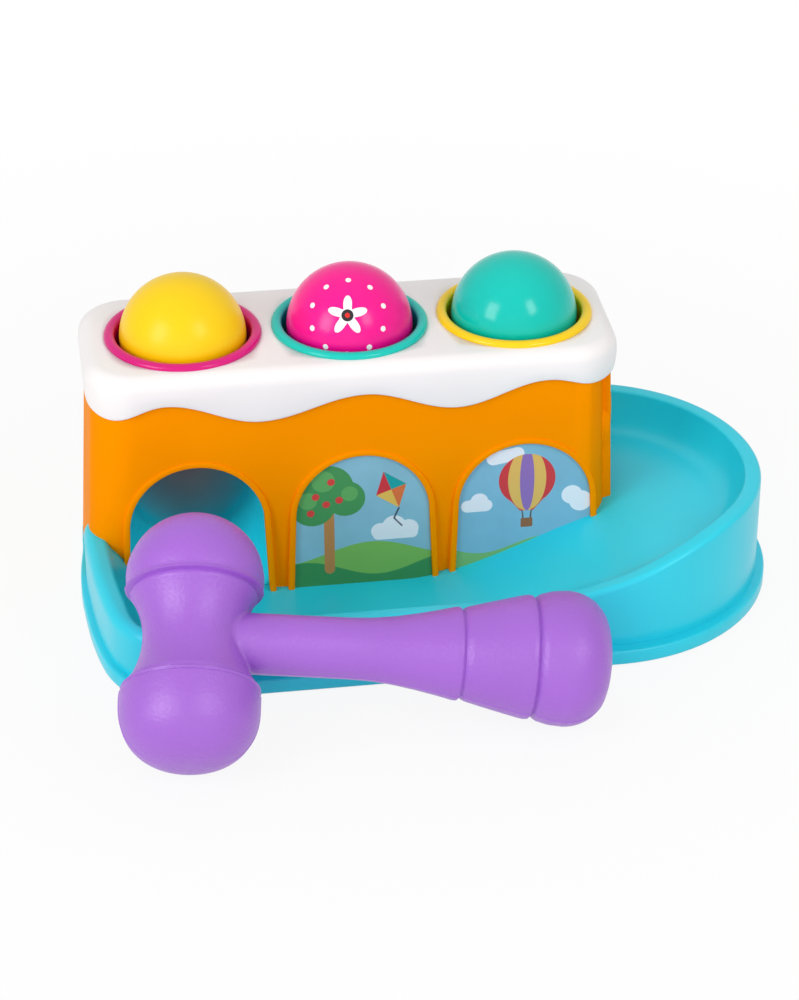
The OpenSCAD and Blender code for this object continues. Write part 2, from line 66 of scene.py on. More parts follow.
def sheetQuads(rows, cols, closeRows, closeCols, flip):  # the four corners of each cell of a grid
    r, c = np.meshgrid(np.arange(rows if closeRows else rows - 1),
                       np.arange(cols if closeCols else cols - 1), indexing="ij")
    r1, c1 = (r + 1) % rows, (c + 1) % cols
    corners = [r * cols + c, r * cols + c1, r1 * cols + c1, r1 * cols + c]
    return np.stack(corners[::-1] if flip else corners, -1).reshape(-1, 4)


def makePiece(name, sheets, finish, body, nodes=(), wall=0.0, closed=True, marks=None, keep=None):
    points, quads, start = [], [], 0
    for s in sheets:
        rows, cols = s["points"].shape[:2]
        points.append(s["points"].reshape(-1, 3))
        quads.append(sheetQuads(rows, cols, s["closeRows"], s["closeCols"], s["flip"]) + start)
        start += rows * cols
    points, quads = np.concatenate(points), np.concatenate(quads)
    if keep is not None:  # leaves out the cells whose middle lies in an opening
        quads = quads[keep(points[quads].mean(1))]
    used, quads = np.unique(quads, return_inverse=True)
    points, quads = points[used], quads.reshape(-1, 4)
    mesh = bpy.data.meshes.new(name)
    mesh.from_pydata((points * mm).tolist(), [], quads.tolist())
    for mark, values in (marks or {}).items():
        layer = mesh.attributes.new(mark, "FLOAT", "POINT")
        layer.data.foreach_set("value", np.ravel(values)[used].astype(np.float32))
    work = bmesh.new()
    work.from_mesh(mesh)
    bmesh.ops.remove_doubles(work, verts=work.verts, dist=weld)
    if closed:
        bmesh.ops.recalc_face_normals(work, faces=work.faces)
    work.to_mesh(mesh)
    work.free()
    mesh.shade_smooth()
    mesh.set_sharp_from_angle(angle=math.radians(sharpFrom))
    piece = bpy.data.objects.new(name, mesh)
    bpy.context.scene.collection.objects.link(piece)
    mesh.materials.append(finish)
    if wall:
        solid = piece.modifiers.new("wall", "SOLIDIFY")
        solid.thickness = wall * mm
        solid.offset = -1.0
    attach(piece, body)
    if nodes:
        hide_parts(*nodes)
    return piece


# Finishes

def linear(red, green, blue):  # a screen colour, 0 to 255, as linear light
    c = np.array([red, green, blue], float) / 255.0
    return (*np.where(c <= 0.04045, c / 12.92, ((c + 0.055) / 1.055) ** 2.4).tolist(), 1.0)


def shaderOf(finish):
    return next(n for n in finish.node_tree.nodes if n.type == "BSDF_PRINCIPLED")


def newFinish(name):
    finish = bpy.data.materials.new(name)
    finish.use_nodes = True
    tree = finish.node_tree
    tree.nodes.clear()
    out = tree.nodes.new("ShaderNodeOutputMaterial")
    shader = tree.nodes.new("ShaderNodeBsdfPrincipled")
    tree.links.new(shader.outputs["BSDF"], out.inputs["Surface"])
    return finish, tree, shader


def addNoise(tree, scale, detail=2.0, roughness=0.5):  # noise in the piece's own space, scale per metre
    place = tree.nodes.new("ShaderNodeTexCoord")
    noise = tree.nodes.new("ShaderNodeTexNoise")
    noise.inputs["Scale"].default_value = scale
    noise.inputs["Detail"].default_value = detail
    noise.inputs["Roughness"].default_value = roughness
    tree.links.new(place.outputs["Object"], noise.inputs["Vector"])
    return noise.outputs["Fac"]


def addRange(tree, value, fromLow, fromHigh, low, high):
    node = tree.nodes.new("ShaderNodeMapRange")
    node.inputs["From Min"].default_value = fromLow
    node.inputs["From Max"].default_value = fromHigh
    node.inputs["To Min"].default_value = low
    node.inputs["To Max"].default_value = high
    tree.links.new(value, node.inputs["Value"])
    return node.outputs["Result"]


def addColourMix(tree, share, first, second):
    node = tree.nodes.new("ShaderNodeMix")
    node.data_type = "RGBA"
    tree.links.new(share, node.inputs["Factor"])
    for socket, colour in ((node.inputs["A"], first), (node.inputs["B"], second)):
        if isinstance(colour, tuple):
            socket.default_value = colour
        else:
            tree.links.new(colour, socket)
    return node.outputs["Result"]


def addBump(tree, shader, height, distance):
    bump = tree.nodes.new("ShaderNodeBump")
    bump.inputs["Strength"].default_value = 1.0
    bump.inputs["Distance"].default_value = distance
    tree.links.new(height, bump.inputs["Height"])
    tree.links.new(bump.outputs["Normal"], shader.inputs["Normal"])


def shade(colour, share):
    return tuple(min(1.0, c * share) for c in colour[:3]) + (1.0,)


# Moulded plastic: the pigment drifts a little, the gloss is uneven, and the mould left a fine skin
def plastic(name, colour, rough, skinScale, skinDepth, drift=0.05, glow=0.0, shine=0.25, grain=(60.0, 0.04)):
    finish, tree, shader = newFinish(name)
    cloud = addNoise(tree, 35.0, 0.0)
    tree.links.new(addColourMix(tree, cloud, shade(colour, 1.0 - 2.0 * drift), shade(colour, 1.0 + 2.0 * drift)),
                   shader.inputs["Base Color"])
    uneven = addNoise(tree, grain[0], 0.0)
    tree.links.new(addRange(tree, uneven, 0.0, 1.0, rough - grain[1], rough + grain[1]), shader.inputs["Roughness"])
    addBump(tree, shader, addNoise(tree, skinScale, 3.0, 0.6), skinDepth * mm)
    shader.inputs["IOR"].default_value = 1.49
    shader.inputs["Specular IOR Level"].default_value = shine
    if glow:
        shader.inputs["Subsurface Weight"].default_value = glow
        shader.inputs["Subsurface Radius"].default_value = (1.0, 0.8, 0.6)
        shader.inputs["Subsurface Scale"].default_value = 2.5 * mm
    return finish


paint = dict(
    blue=linear(34, 209, 230), orange=linear(255, 146, 0), white=linear(242, 238, 237),
    pink=linear(252, 8, 145), teal=linear(0, 196, 182), yellow=linear(255, 208, 0),
    purple=linear(158, 92, 204), ring=linear(70, 70, 76), steel=linear(190, 190, 195),
)
blueFinish = plastic("blue moulding", paint["blue"], 0.33, 260.0, 0.006, 0.03, shine=0.5)
darkBlueFinish = plastic("blue insert", paint["blue"], 0.42, 900.0, 0.01, 0.03)
orangeFinish = plastic("orange moulding", paint["orange"], 0.4, 300.0, 0.006, 0.03, shine=0.004)
whiteFinish = plastic("white moulding", paint["white"], 0.36, 300.0, 0.005, 0.015, shine=0.3)
pinkFinish = plastic("pink collar plastic", shade(paint["pink"], 0.7), 0.22, 1100.0, 0.004, 0.03, shine=0.4)
tealFinish = plastic("teal collar plastic", paint["teal"], 0.22, 1100.0, 0.004, 0.03, shine=0.4)
yellowFinish = plastic("yellow collar plastic", paint["yellow"], 0.22, 1100.0, 0.004, 0.03, shine=0.4)
ringFinish = plastic("soft ring rubber", paint["ring"], 0.6, 1500.0, 0.02, 0.05)
purpleFinish = plastic("purple blow moulding", paint["purple"], 0.37, 900.0, 0.26, 0.04, shine=0.8,
                       grain=(1100.0, 0.09))
steelFinish, steelTree, steelShader = newFinish("zinc screw")
steelShader.inputs["Base Color"].default_value = paint["steel"]
steelShader.inputs["Metallic"].default_value = 1.0
steelTree.links.new(addRange(steelTree, addNoise(steelTree, 900.0), 0.3, 0.7, 0.28, 0.45),
                    steelShader.inputs["Roughness"])
print("finishes made")

# The tray and the base share one outline

tray = dict(
    front=-97.7, back=41.5, turnAt=(88.5, -28.1), turnR=69.6, spineLeft=-60.0, step=2.0, soften=7,
    leftEnd=((-79.5, 41.5), (-90.0, 39.3), (-98.6, 33.2), (-104.2, 24.5), (-105.3, 14.0), (-105.7, 5.0),
             (-106.5, -2.5), (-107.3, -11.0), (-107.8, -22.0), (-107.5, -34.0), (-105.7, -56.0), (-102.1, -75.4),
             (-97.4, -86.4), (-91.5, -93.8), (-84.0, -97.2)),
    leftFrom=-66.0, leftLen=26.0, turnFrom=60.0, turnLen=40.0,   # where the ends' own sizes take over
    wallIn=3.2, frontIn=1.7, leftIn=1.0, tuckIn=3.2, tuckFrom=-18.0, tuckLen=11.0,   # the wall stands in on the base
    rimW=(6.5, 6.5, 8.8), outerRound=(1.8, 2.6, 4.2), innerRound=(1.3, 1.3, 2.6), innerBend=(75.0, 75.0, 45.0),
    run=(14.0, 15.0, 22.0), power=(3.4, 2.2, 1.6), roll=(0.0, 0.0, 0.6),   # each for turn, front, left end
    wideFrom=-92.0, wideLen=22.0, underZ=2.7, underIn=6.0, chamfer=0.6, wallZ=3.2,
    basinZ=5.0, turnZ=32.0, slopeFrom=15.6, slopeLen=100.0,
    rimFront=26.3, rimTurn=45.5, rimBack=46.0, rimLeft=30.0, riseFrom=55.6, riseLen=89.0, houseRight=100.6,
    backFrom=-27.0, backLen=63.0, sideFrom=-94.7, sideLen=53.0,
)


def smoothLine(points, each):  # a cubic through every point, whose slopes follow their neighbours
    p = np.asarray(points, float)
    p0, p1, p2, p3 = p[:-3, None], p[1:-2, None], p[2:-1, None], p[3:, None]
    t = np.linspace(0.0, 1.0, each, endpoint=False)[None, :, None]
    line = 0.5 * (2.0 * p1 + (p2 - p0) * t + (2.0 * p0 - 5.0 * p1 + 4.0 * p2 - p3) * t ** 2
                  + (3.0 * p1 - p0 - 3.0 * p2 + p3) * t ** 3)
    return np.concatenate([line.reshape(-1, p.shape[1]), p[-2:-1]])


def evenly(line, count):  # points spread evenly along a polyline, its ends left out
    along = np.concatenate([[0.0], np.cumsum(np.linalg.norm(np.diff(line, axis=0), axis=1))])
    at = np.linspace(0.0, along[-1], count + 2)[1:-1]
    return np.stack([np.interp(at, along, line[:, 0]), np.interp(at, along, line[:, 1])], -1)


# The outline goes round anticlockwise: turn, back, left end, front. Front and back take the same places
# along the row, so that the floor's two halves meet on one line, the spine.
def trayOutline(t):
    xs = np.linspace(t["spineLeft"], t["turnAt"][0], int((t["turnAt"][0] - t["spineLeft"]) / t["step"]))
    a = np.radians(np.linspace(-90.0, 90.0, 120)[1:-1])[:, None]
    turn = np.array(t["turnAt"]) + t["turnR"] * np.concatenate([np.cos(a), np.sin(a)], 1)
    ends = [[xs[3], t["back"]], [xs[0], t["back"]], *t["leftEnd"], [xs[0], t["front"]], [xs[3], t["front"]]]
    line = np.concatenate([
        turn, np.stack([xs[::-1], np.full(len(xs), t["back"])], -1), evenly(smoothLine(ends, 24), 130),
        np.stack([xs, np.full(len(xs), t["front"])], -1)])
    tangent = np.roll(line, -1, 0) - np.roll(line, 1, 0)
    tangent /= np.linalg.norm(tangent, axis=1, keepdims=True)
    inward = np.stack([-tangent[:, 1], tangent[:, 0]], -1)
    near = range(-t["soften"], t["soften"] + 1)   # an average, which keeps tight corners from folding
    inward = sum(np.roll(inward, k, 0) for k in near)
    inward /= np.linalg.norm(inward, axis=1, keepdims=True)
    spine = np.stack([np.clip(line[:, 0], t["spineLeft"], t["turnAt"][0]),
                      np.full(len(line), t["turnAt"][1])], -1)
    return line, inward, spine


def floorZ(x):  # the basin's level, a smooth slope, the turn's level
    return mix(tray["basinZ"], tray["turnZ"], ease((x - tray["slopeFrom"]) / tray["slopeLen"]))


def rimZ(x, y):  # the rim rises to the turn, round it to the back, and falls behind the house
    t = tray
    z = mix(t["rimFront"], t["rimTurn"], ease((x - t["riseFrom"]) / t["riseLen"]))
    turned = (x > t["houseRight"]) & (y > t["turnAt"][1])
    back = mix(t["rimTurn"], t["rimBack"], ease((y - t["backFrom"]) / t["backLen"]))
    z = np.where(turned, np.maximum(z, back), z)
    z = np.where((y > 0) & (x <= t["houseRight"]),
                 np.maximum(z, mix(t["rimLeft"], t["rimBack"], ease(x / t["houseRight"]))), z)
    side = mix(t["rimFront"], t["rimLeft"], ease((y - t["sideFrom"]) / t["sideLen"]))
    return np.where(x < 0, np.maximum(z, side), z)


def flat3(points, z):
    return np.concatenate([points, np.broadcast_to(np.asarray(z, float), points.shape[:1])[:, None]], -1)


outline, inward, spine = trayOutline(tray)
atLeft = ease((tray["leftFrom"] - outline[:, 0]) / tray["leftLen"])
atTurn = ease((outline[:, 0] - tray["turnFrom"]) / tray["turnLen"])
wallIn = (tray["wallIn"] + tray["frontIn"] * np.clip(inward[:, 1], 0.0, 1.0) ** 2
          + (tray["tuckIn"] * ease((outline[:, 1] - tray["tuckFrom"]) / tray["tuckLen"]) - tray["leftIn"]) * atLeft)


def byPlace(values, left=atLeft):  # a size for the turn, the front and the left end, blended along the outline
    return mix(mix(values[1], values[0], atTurn), values[2], left)


# Carried along the outline: up the outer wall, over the round rim, down the inner wall, whose height falls
# as a power of the way from the rim, or as a smooth step at the left end, and across the floor to the spine.
def traySurface(t):
    rim = rimZ(outline[:, 0], outline[:, 1])
    run, power, roll = byPlace(t["run"]), byPlace(t["power"]), byPlace(t["roll"])
    wide = ease((outline[:, 1] - t["wideFrom"]) / t["wideLen"])   # not so wide round the front corner
    rimW = byPlace(t["rimW"], atLeft * wide)
    outer, inner, bend = byPlace(t["outerRound"]), byPlace(t["innerRound"]), np.radians(byPlace(t["innerBend"]))

    def ring(inset, z):
        return flat3(outline + inward * (wallIn + inset)[:, None], z)

    rows = [flat3(spine, t["underZ"]), ring(t["underIn"], t["underZ"]), ring(t["chamfer"], t["underZ"]),
            ring(0.0, t["wallZ"])]
    rows += [ring(0.0, mix(t["wallZ"], rim - outer, s)) for s in (0.1, 0.2, 0.4, 0.7, 0.9, 1.0)]
    for a in np.radians(np.linspace(12.0, 90.0, 8)):
        rows.append(ring(outer * (1.0 - np.cos(a)), rim - outer * (1.0 - np.sin(a))))
    for s in np.linspace(0.0, 1.0, 7):
        rows.append(ring(rimW - inner * (1.0 - np.sin(bend * s)), rim - inner * (1.0 - np.cos(bend * s))))
    edge = outline + inward * (wallIn + rimW)[:, None]
    toSpine = spine - edge
    reach = np.linalg.norm(toSpine, axis=1)
    way = toSpine / reach[:, None]
    foot = rim - inner
    for s in np.linspace(0.03, 1.0, 20):
        p = edge + way * (run * s)[:, None]
        floor = floorZ(p[:, 0])
        fall = mix((1.0 - s) ** power, 1.0 - ease(s), roll)
        rows.append(flat3(p, floor + np.maximum(foot - floor, 0.0) * fall))
    for s in np.linspace(0.0, 1.0, 9)[1:]:
        p = edge + way * mix(run, reach, s)[:, None]
        rows.append(flat3(p, floorZ(p[:, 0])))
    return sheet(np.stack(rows), closeCols=True)


makePiece("tray", [traySurface(tray)], blueFinish, "toy", ["ramp_tray"])

base = dict(foot=7.0, footLean=0.6, panelZ=1.0, top=6.0, seat=2.4, seatLean=0.2, edge=0.9, under=1.6)


# Carried along the same outline: a foot, a rounded flange, and the ledge that the tray's wall stands on
def baseSurface(b):
    def ring(inset, z):
        return flat3(outline + inward * np.broadcast_to(np.asarray(inset, float), wallIn.shape)[:, None], z)
    bend, e = np.radians((0, 30, 60, 90)), b["edge"]
    rows = [flat3(spine, b["panelZ"]), ring(b["foot"] + b["footLean"], b["panelZ"]), ring(b["foot"], 0.0)]
    rows += [ring(e * (1 - np.sin(a)), e * (1 - np.cos(a))) for a in bend]
    rows += [ring(e * (1 - np.cos(a)), b["top"] - e * (1 - np.sin(a))) for a in bend]
    rows += [ring(wallIn + b["under"], b["top"]), ring(wallIn + b["under"] + b["seatLean"], b["seat"]),
             flat3(spine, b["seat"])]
    return sheet(np.stack(rows), closeCols=True)


makePiece("base", [baseSurface(base)], blueFinish, "toy", ["base_plate"])
print("tray and base made")

# House

house = dict(
    mid=-1.2, topX=98.4, topY=32.6, footZ=2.4, topZ=97.5, draft=3.4, corner=14.5,
    bottom=3.0, wall=2.3, sink=2.4, sinkFrom=64.0, sinkLen=62.0, leftLean=0.6,
    archAt=(-62.9, 0.2, 62.7), archR=25.6, archZ=35.4, flare=1.2, flareLen=30.0,
    frameW=2.4, frameOut=0.55, frameBack=4.6,
    exitTurn=67.5, exitZ=55.5, exitOut=0.15, exitBack=4.0,   # the exit begins part of the way round the corner
    exitW=0.5, exitWideFrom=50.0, exitWideLen=12.0,
    stepTurn=(0.0, 17.0, 40.0, 60.0, 66.0), stepOut=(0.4, 0.9, -1.0, -2.6, -2.5), stepTop=94.0, stepLen=8.0,
    lip=((65.2, -3.4), (65.2, -0.3), (65.5, 0.0), (66.2, 0.15), (68.6, 0.15), (69.0, -0.1), (69.0, -3.4)),
    lipDown=4.0,
)


def spread(z):  # how far the walls stand out at a height, because they lean
    return house["draft"] * (house["topZ"] - z) / (house["topZ"] - house["footZ"])


def sunk(z):  # between the arches' frames the wall stays upright, so it lies deeper towards the foot
    return house["sink"] * ease((house["sinkFrom"] - z) / house["sinkLen"])


# Round the house anticlockwise: front, right, back and left flats with round corners between them. The front
# right corner has a step, beside the lip of the exit.
def houseSurface(h):
    zs = np.linspace(h["bottom"], h["topZ"], 80)
    halfX, halfY = h["topX"] - h["corner"], h["topY"] - h["corner"]
    z = zs[:, None]
    radius = h["corner"] + spread(z)
    deg = np.concatenate([np.linspace(0.0, 60.0, 21), [62.0, 64.0, 66.0, 66.8, h["exitTurn"]],
                          np.linspace(70.0, 90.0, 8)])[None, :]
    q = np.radians(deg)
    notch = np.interp(deg, (*h["stepTurn"], h["exitTurn"], 90.0), (*h["stepOut"], 0.0, 0.0))
    low = ease((h["stepTop"] - z) / h["stepLen"])
    rightFront = radius - sunk(z) * (1.0 - ease(deg / 20.0)) * 0.6 + notch * low
    leftFront = radius - sunk(z) * ease((deg - 30.0) / 50.0)
    cols = []

    def flat(x0, x1, y0, y1, count, outX, outY):
        s = np.linspace(0.0, 1.0, count + 1)[None, 1:-1]
        x, y = mix(x0, x1, s) + outX, mix(y0, y1, s) + outY
        cols.append(np.stack(np.broadcast_arrays(x, y, z), -1))

    def corner(cx, cy, r, turn):
        a = q + np.radians(turn)
        x, y = cx + r * np.sin(a), cy - r * np.cos(a)
        cols.append(np.stack(np.broadcast_arrays(x, y, z), -1))

    right, left = h["mid"] + halfX, h["mid"] - halfX - h["leftLean"] * spread(z)
    flat(left, right, -halfY, -halfY, 190, 0.0, -(radius - sunk(z)))
    corner(right, -halfY, rightFront, 0.0)
    flat(right, right, -halfY, halfY, 44, radius, 0.0)
    corner(right, halfY, radius + 0 * q, 90.0)
    flat(right, left, halfY, halfY, 60, 0.0, radius)
    corner(left, halfY, radius + 0 * q, 180.0)
    flat(left, left, halfY, -halfY, 44, -radius, 0.0)
    corner(left, -halfY, leftFront, 270.0)
    return sheet(np.concatenate(cols, 1), closeCols=True)


def archHalf(z):  # half of a front arch between its legs, which spread a little
    return house["archR"] + house["flare"] * (house["archZ"] - z) / house["flareLen"]


def exitHalf(z):  # half of the exit between its legs, which follow the corner's lip
    return house["topY"] - house["corner"] + (house["corner"] + spread(z)) * math.cos(math.radians(house["exitTurn"]))


def insideArch(u, z, halfAt, centreZ, grow):
    legs = (z < centreZ) & (np.abs(u) < halfAt(z) + grow)
    return legs | (np.hypot(u, z - centreZ) < halfAt(centreZ) + grow)


def exitWidth(z):  # the exit's frame is narrow beside the corners and full over the arch
    return mix(house["exitW"], house["frameW"], ease((z - house["exitWideFrom"]) / house["exitWideLen"]))


def houseKeep(middles):
    x, y, z = middles.T
    cut = np.zeros(len(x), bool)
    for centre in house["archAt"]:
        cut |= (y < 0.0) & insideArch(x - centre, z, archHalf, house["archZ"], 0.5 * house["frameW"])
    past = np.degrees(np.arctan2(x - (house["mid"] + house["topX"] - house["corner"]),
                                 np.abs(y) - (house["topY"] - house["corner"])))   # how far round the corner
    cut |= (past > house["exitTurn"]) & insideArch(y, z, exitHalf, house["exitZ"], 0.5 * exitWidth(z))
    return ~cut


makePiece("house", [houseSurface(house)], orangeFinish, "toy", ["house_shell"],
          wall=house["wall"], closed=False, keep=houseKeep)


# A frame: a narrow section with rounded front edges, carried up one leg, over the arch and down the other
def archFrame(halfAt, centreZ, widthAt, place, back):
    legs = np.linspace(house["bottom"], centreZ, 24)[:-1]
    turn = np.radians(np.linspace(180.0, 0.0, 72))
    u = np.concatenate([-halfAt(legs), halfAt(centreZ) * np.cos(turn), halfAt(legs)[::-1]])
    z = np.concatenate([legs, centreZ + halfAt(centreZ) * np.sin(turn), legs[::-1]])
    tangent = np.gradient(np.stack([u, z], -1), axis=0)
    tangent /= np.linalg.norm(tangent, axis=1, keepdims=True)
    outU, outZ = -tangent[:, 1], tangent[:, 0]
    w = widthAt(z)
    section = [(0.0, back), (0.0, 0.5), (0.06, 0.15), (0.21, 0.0), (0.71, 0.0), (0.92, 0.2), (1.0, 0.7), (1.0, back)]
    rows = np.stack([place(u + outU * o * w, z + outZ * o * w, np.full(len(u), d)) for o, d in section])
    ends = rows.mean(0)[[0, -1]]
    first = np.repeat(ends[:1], len(section), 0)[:, None]
    last = np.repeat(ends[1:], len(section), 0)[:, None]
    return sheet(np.concatenate([first, rows, last], 1), closeRows=True)


def onFront(centre):  # u along the row, d into the wall from the frame's face
    return lambda u, z, d: np.stack([centre + u, -(house["topY"] + spread(z) + house["frameOut"]) + d, z], -1)


def onRight(u, z, d):  # follows the wall round its corners
    r = house["corner"] + spread(z) + house["exitOut"] - d
    past = np.clip(np.abs(u) - (house["topY"] - house["corner"]), 0.0, r - 0.5)
    return np.stack([house["mid"] + house["topX"] - house["corner"] + np.sqrt(r ** 2 - past ** 2), u, z], -1)


def frontWidth(z):
    return house["frameW"] + 0.0 * z


frames = [archFrame(archHalf, house["archZ"], frontWidth, onFront(c), house["frameBack"])
          for c in house["archAt"]]
frames.append(archFrame(exitHalf, house["exitZ"], exitWidth, onRight, house["exitBack"]))


# The exit's lip: a narrow section at the front right corner, carried straight up under the skirt
def lipSurface(h):
    z = np.linspace(h["bottom"], h["topZ"] - h["lipDown"], 40)[:, None]
    turn, out = np.array(h["lip"]).T[:, None]   # degrees round the corner, and how far out of the wall
    turn, r = np.radians(turn), h["corner"] + spread(z) + out
    x = h["mid"] + h["topX"] - h["corner"] + r * np.sin(turn)
    y = -(h["topY"] - h["corner"]) - r * np.cos(turn)
    points = np.stack(np.broadcast_arrays(x, y, z), -1)
    ends = [points[:1] * 0 + points[i].mean(0) for i in (0, -1)]
    return sheet(np.concatenate([ends[0], points, ends[1]]), closeCols=True)


frames.append(lipSurface(house))
makePiece("arch_frames", frames, orangeFinish, "toy")
print("house made")

# Inside the house

chute = dict(
    alcoveX=-63.4, alcoveHalf=27.6, alcoveFront=-31.5, alcoveFoot=5.2, alcoveTop=84.0,
    bowlR=24.4, bowlZ=35.1, bowlFloorR=8.0, backShare=0.6, skin=1.6,
    half=29.0, mouth=21.5, mouthFrom=78.0, mouthLen=14.0, wall=2.2,
    upper=((95.0, 33.2), (31.7, 38.0)), lower=((31.7, 20.5), (-37.0, 7.4)), dish=3.0,
)


# The alcove behind the open arch leaves room for the ball's whole drop: a half round back that closes below as a
# bowl, two side faces from it out to the arch's legs, and a floor that slopes forwards from the bowl.
def alcoveSurface(c):
    low = math.asin(c["bowlFloorR"] / c["bowlR"])
    sink, front = c["bowlZ"] - c["bowlR"] * math.cos(low), c["alcoveFront"]
    z = np.concatenate([np.linspace(c["alcoveFoot"], sink, 12)[:-1],
                        c["bowlZ"] - c["bowlR"] * np.cos(np.linspace(low, np.pi / 2.0, 28)),
                        np.linspace(c["bowlZ"], c["alcoveTop"], 10)[1:]])[:, None]
    r = np.sqrt(np.maximum(c["bowlR"] ** 2 - np.minimum(z - c["bowlZ"], 0.0) ** 2, c["bowlFloorR"] ** 2))
    ahead = np.clip((sink - z) / (sink - c["alcoveFoot"]), 0.0, 1.0)
    u = np.linspace(-1.0, 1.0, 101)[None, :]
    turn = np.radians(90.0 * np.clip(np.abs(u) / c["backShare"], 0.0, 1.0))
    side = np.clip((np.abs(u) - c["backShare"]) / (1.0 - c["backShare"]), 0.0, 1.0)
    x = np.sign(u) * mix(r * np.sin(turn), c["alcoveHalf"], side)
    y = mix(front * ahead + r * np.cos(turn) * (1.0 - ahead ** 2), front, side)
    return sheet(np.stack(np.broadcast_arrays(c["alcoveX"] + x, y, z), -1))


def chuteSurface(c, ends):  # a dished floor along the row with low side walls, as a closed slab
    (x0, z0), (x1, z1) = ends
    s = np.linspace(0.0, 1.0, 24)[:, None]
    w = np.linspace(-1.0, 1.0, 33)[None, :]
    x = mix(x0, x1, s) + 0 * w
    y = mix(c["half"], c["mouth"], ease((x - c["mouthFrom"]) / c["mouthLen"])) * w   # narrower in the exit
    top = mix(z0, z1, s) + c["dish"] * np.abs(w) ** 3.0
    upper, lower = np.stack([x, y, top], -1), np.stack([x, y, top - c["wall"]], -1)
    return sheet(np.concatenate([upper, lower[:, ::-1]], 1), closeCols=True)


# The alcove's blue is painted lighter against the shade inside, and turns with depth to a grey that is painted shade
# for the dark inside of the house
def alcoveFinishOf(near, deep, paintedShadeGrey):
    # painted light: the blue is made 1.2 times lighter to make up for the shade inside the alcove
    finish = plastic("alcove moulding with painted light and shade", shade(paint["blue"], 1.2), 0.42, 260.0, 0.006, 0.03, shine=0.3)
    tree = finish.node_tree
    shader = shaderOf(finish)
    place, parts = tree.nodes.new("ShaderNodeTexCoord"), tree.nodes.new("ShaderNodeSeparateXYZ")
    tree.links.new(place.outputs["Object"], parts.inputs[0])
    under = shader.inputs["Base Color"].links[0].from_socket
    # painted shade: the further back into the house, the more the colour turns to the grey that stands for shade
    depth = addRange(tree, parts.outputs["Y"], near * mm, deep * mm, 0.0, 1.0)
    tree.links.new(addColourMix(tree, depth, under, paintedShadeGrey), shader.inputs["Base Color"])
    return finish


# the painted shade begins 5 mm back and is full at 23 mm; the grey is painted shade, not the moulding's own colour
alcoveFinish = alcoveFinishOf(5.0, 23.0, linear(182, 143, 140))
makePiece("alcove", [alcoveSurface(chute)], alcoveFinish, "toy", wall=chute["skin"], closed=False)


def capped(closedStrip):  # closes both ends of a strip whose columns run all round
    p = closedStrip["points"]
    first, last = p[:1] * 0 + p[0].mean(0), p[-1:] * 0 + p[-1].mean(0)
    return sheet(np.concatenate([first, p, last]), closeCols=True)


makePiece("chutes", [capped(chuteSurface(chute, chute[name])) for name in ("upper", "lower")],
          darkBlueFinish, "toy", ["inner_chute"], closed=False)
print("inside made")

# Cover

pitch = 63.4  # from one ball to the next along the row
cover = dict(
    halfX=101.0, halfY=35.2, corner=18.5, top=100.0, round=5.8, wall=1.5, holeR=28.5,
    bulge=0.2, tuck=0.25, tuckPower=1.7, lip=0.9,
    drips=((90.6, -34.4, 84.8), (90.6, 34.4, 84.8), (-94.5, 31.7, 83.6), (-94.5, -31.7, 82.7)),   # at the corners
    front=(-72.5, -37.5, 1.0, 35.5, 71.5), frontZ=(88.1, 79.1, 87.5, 79.3, 88.2), endZ=88.4,
)


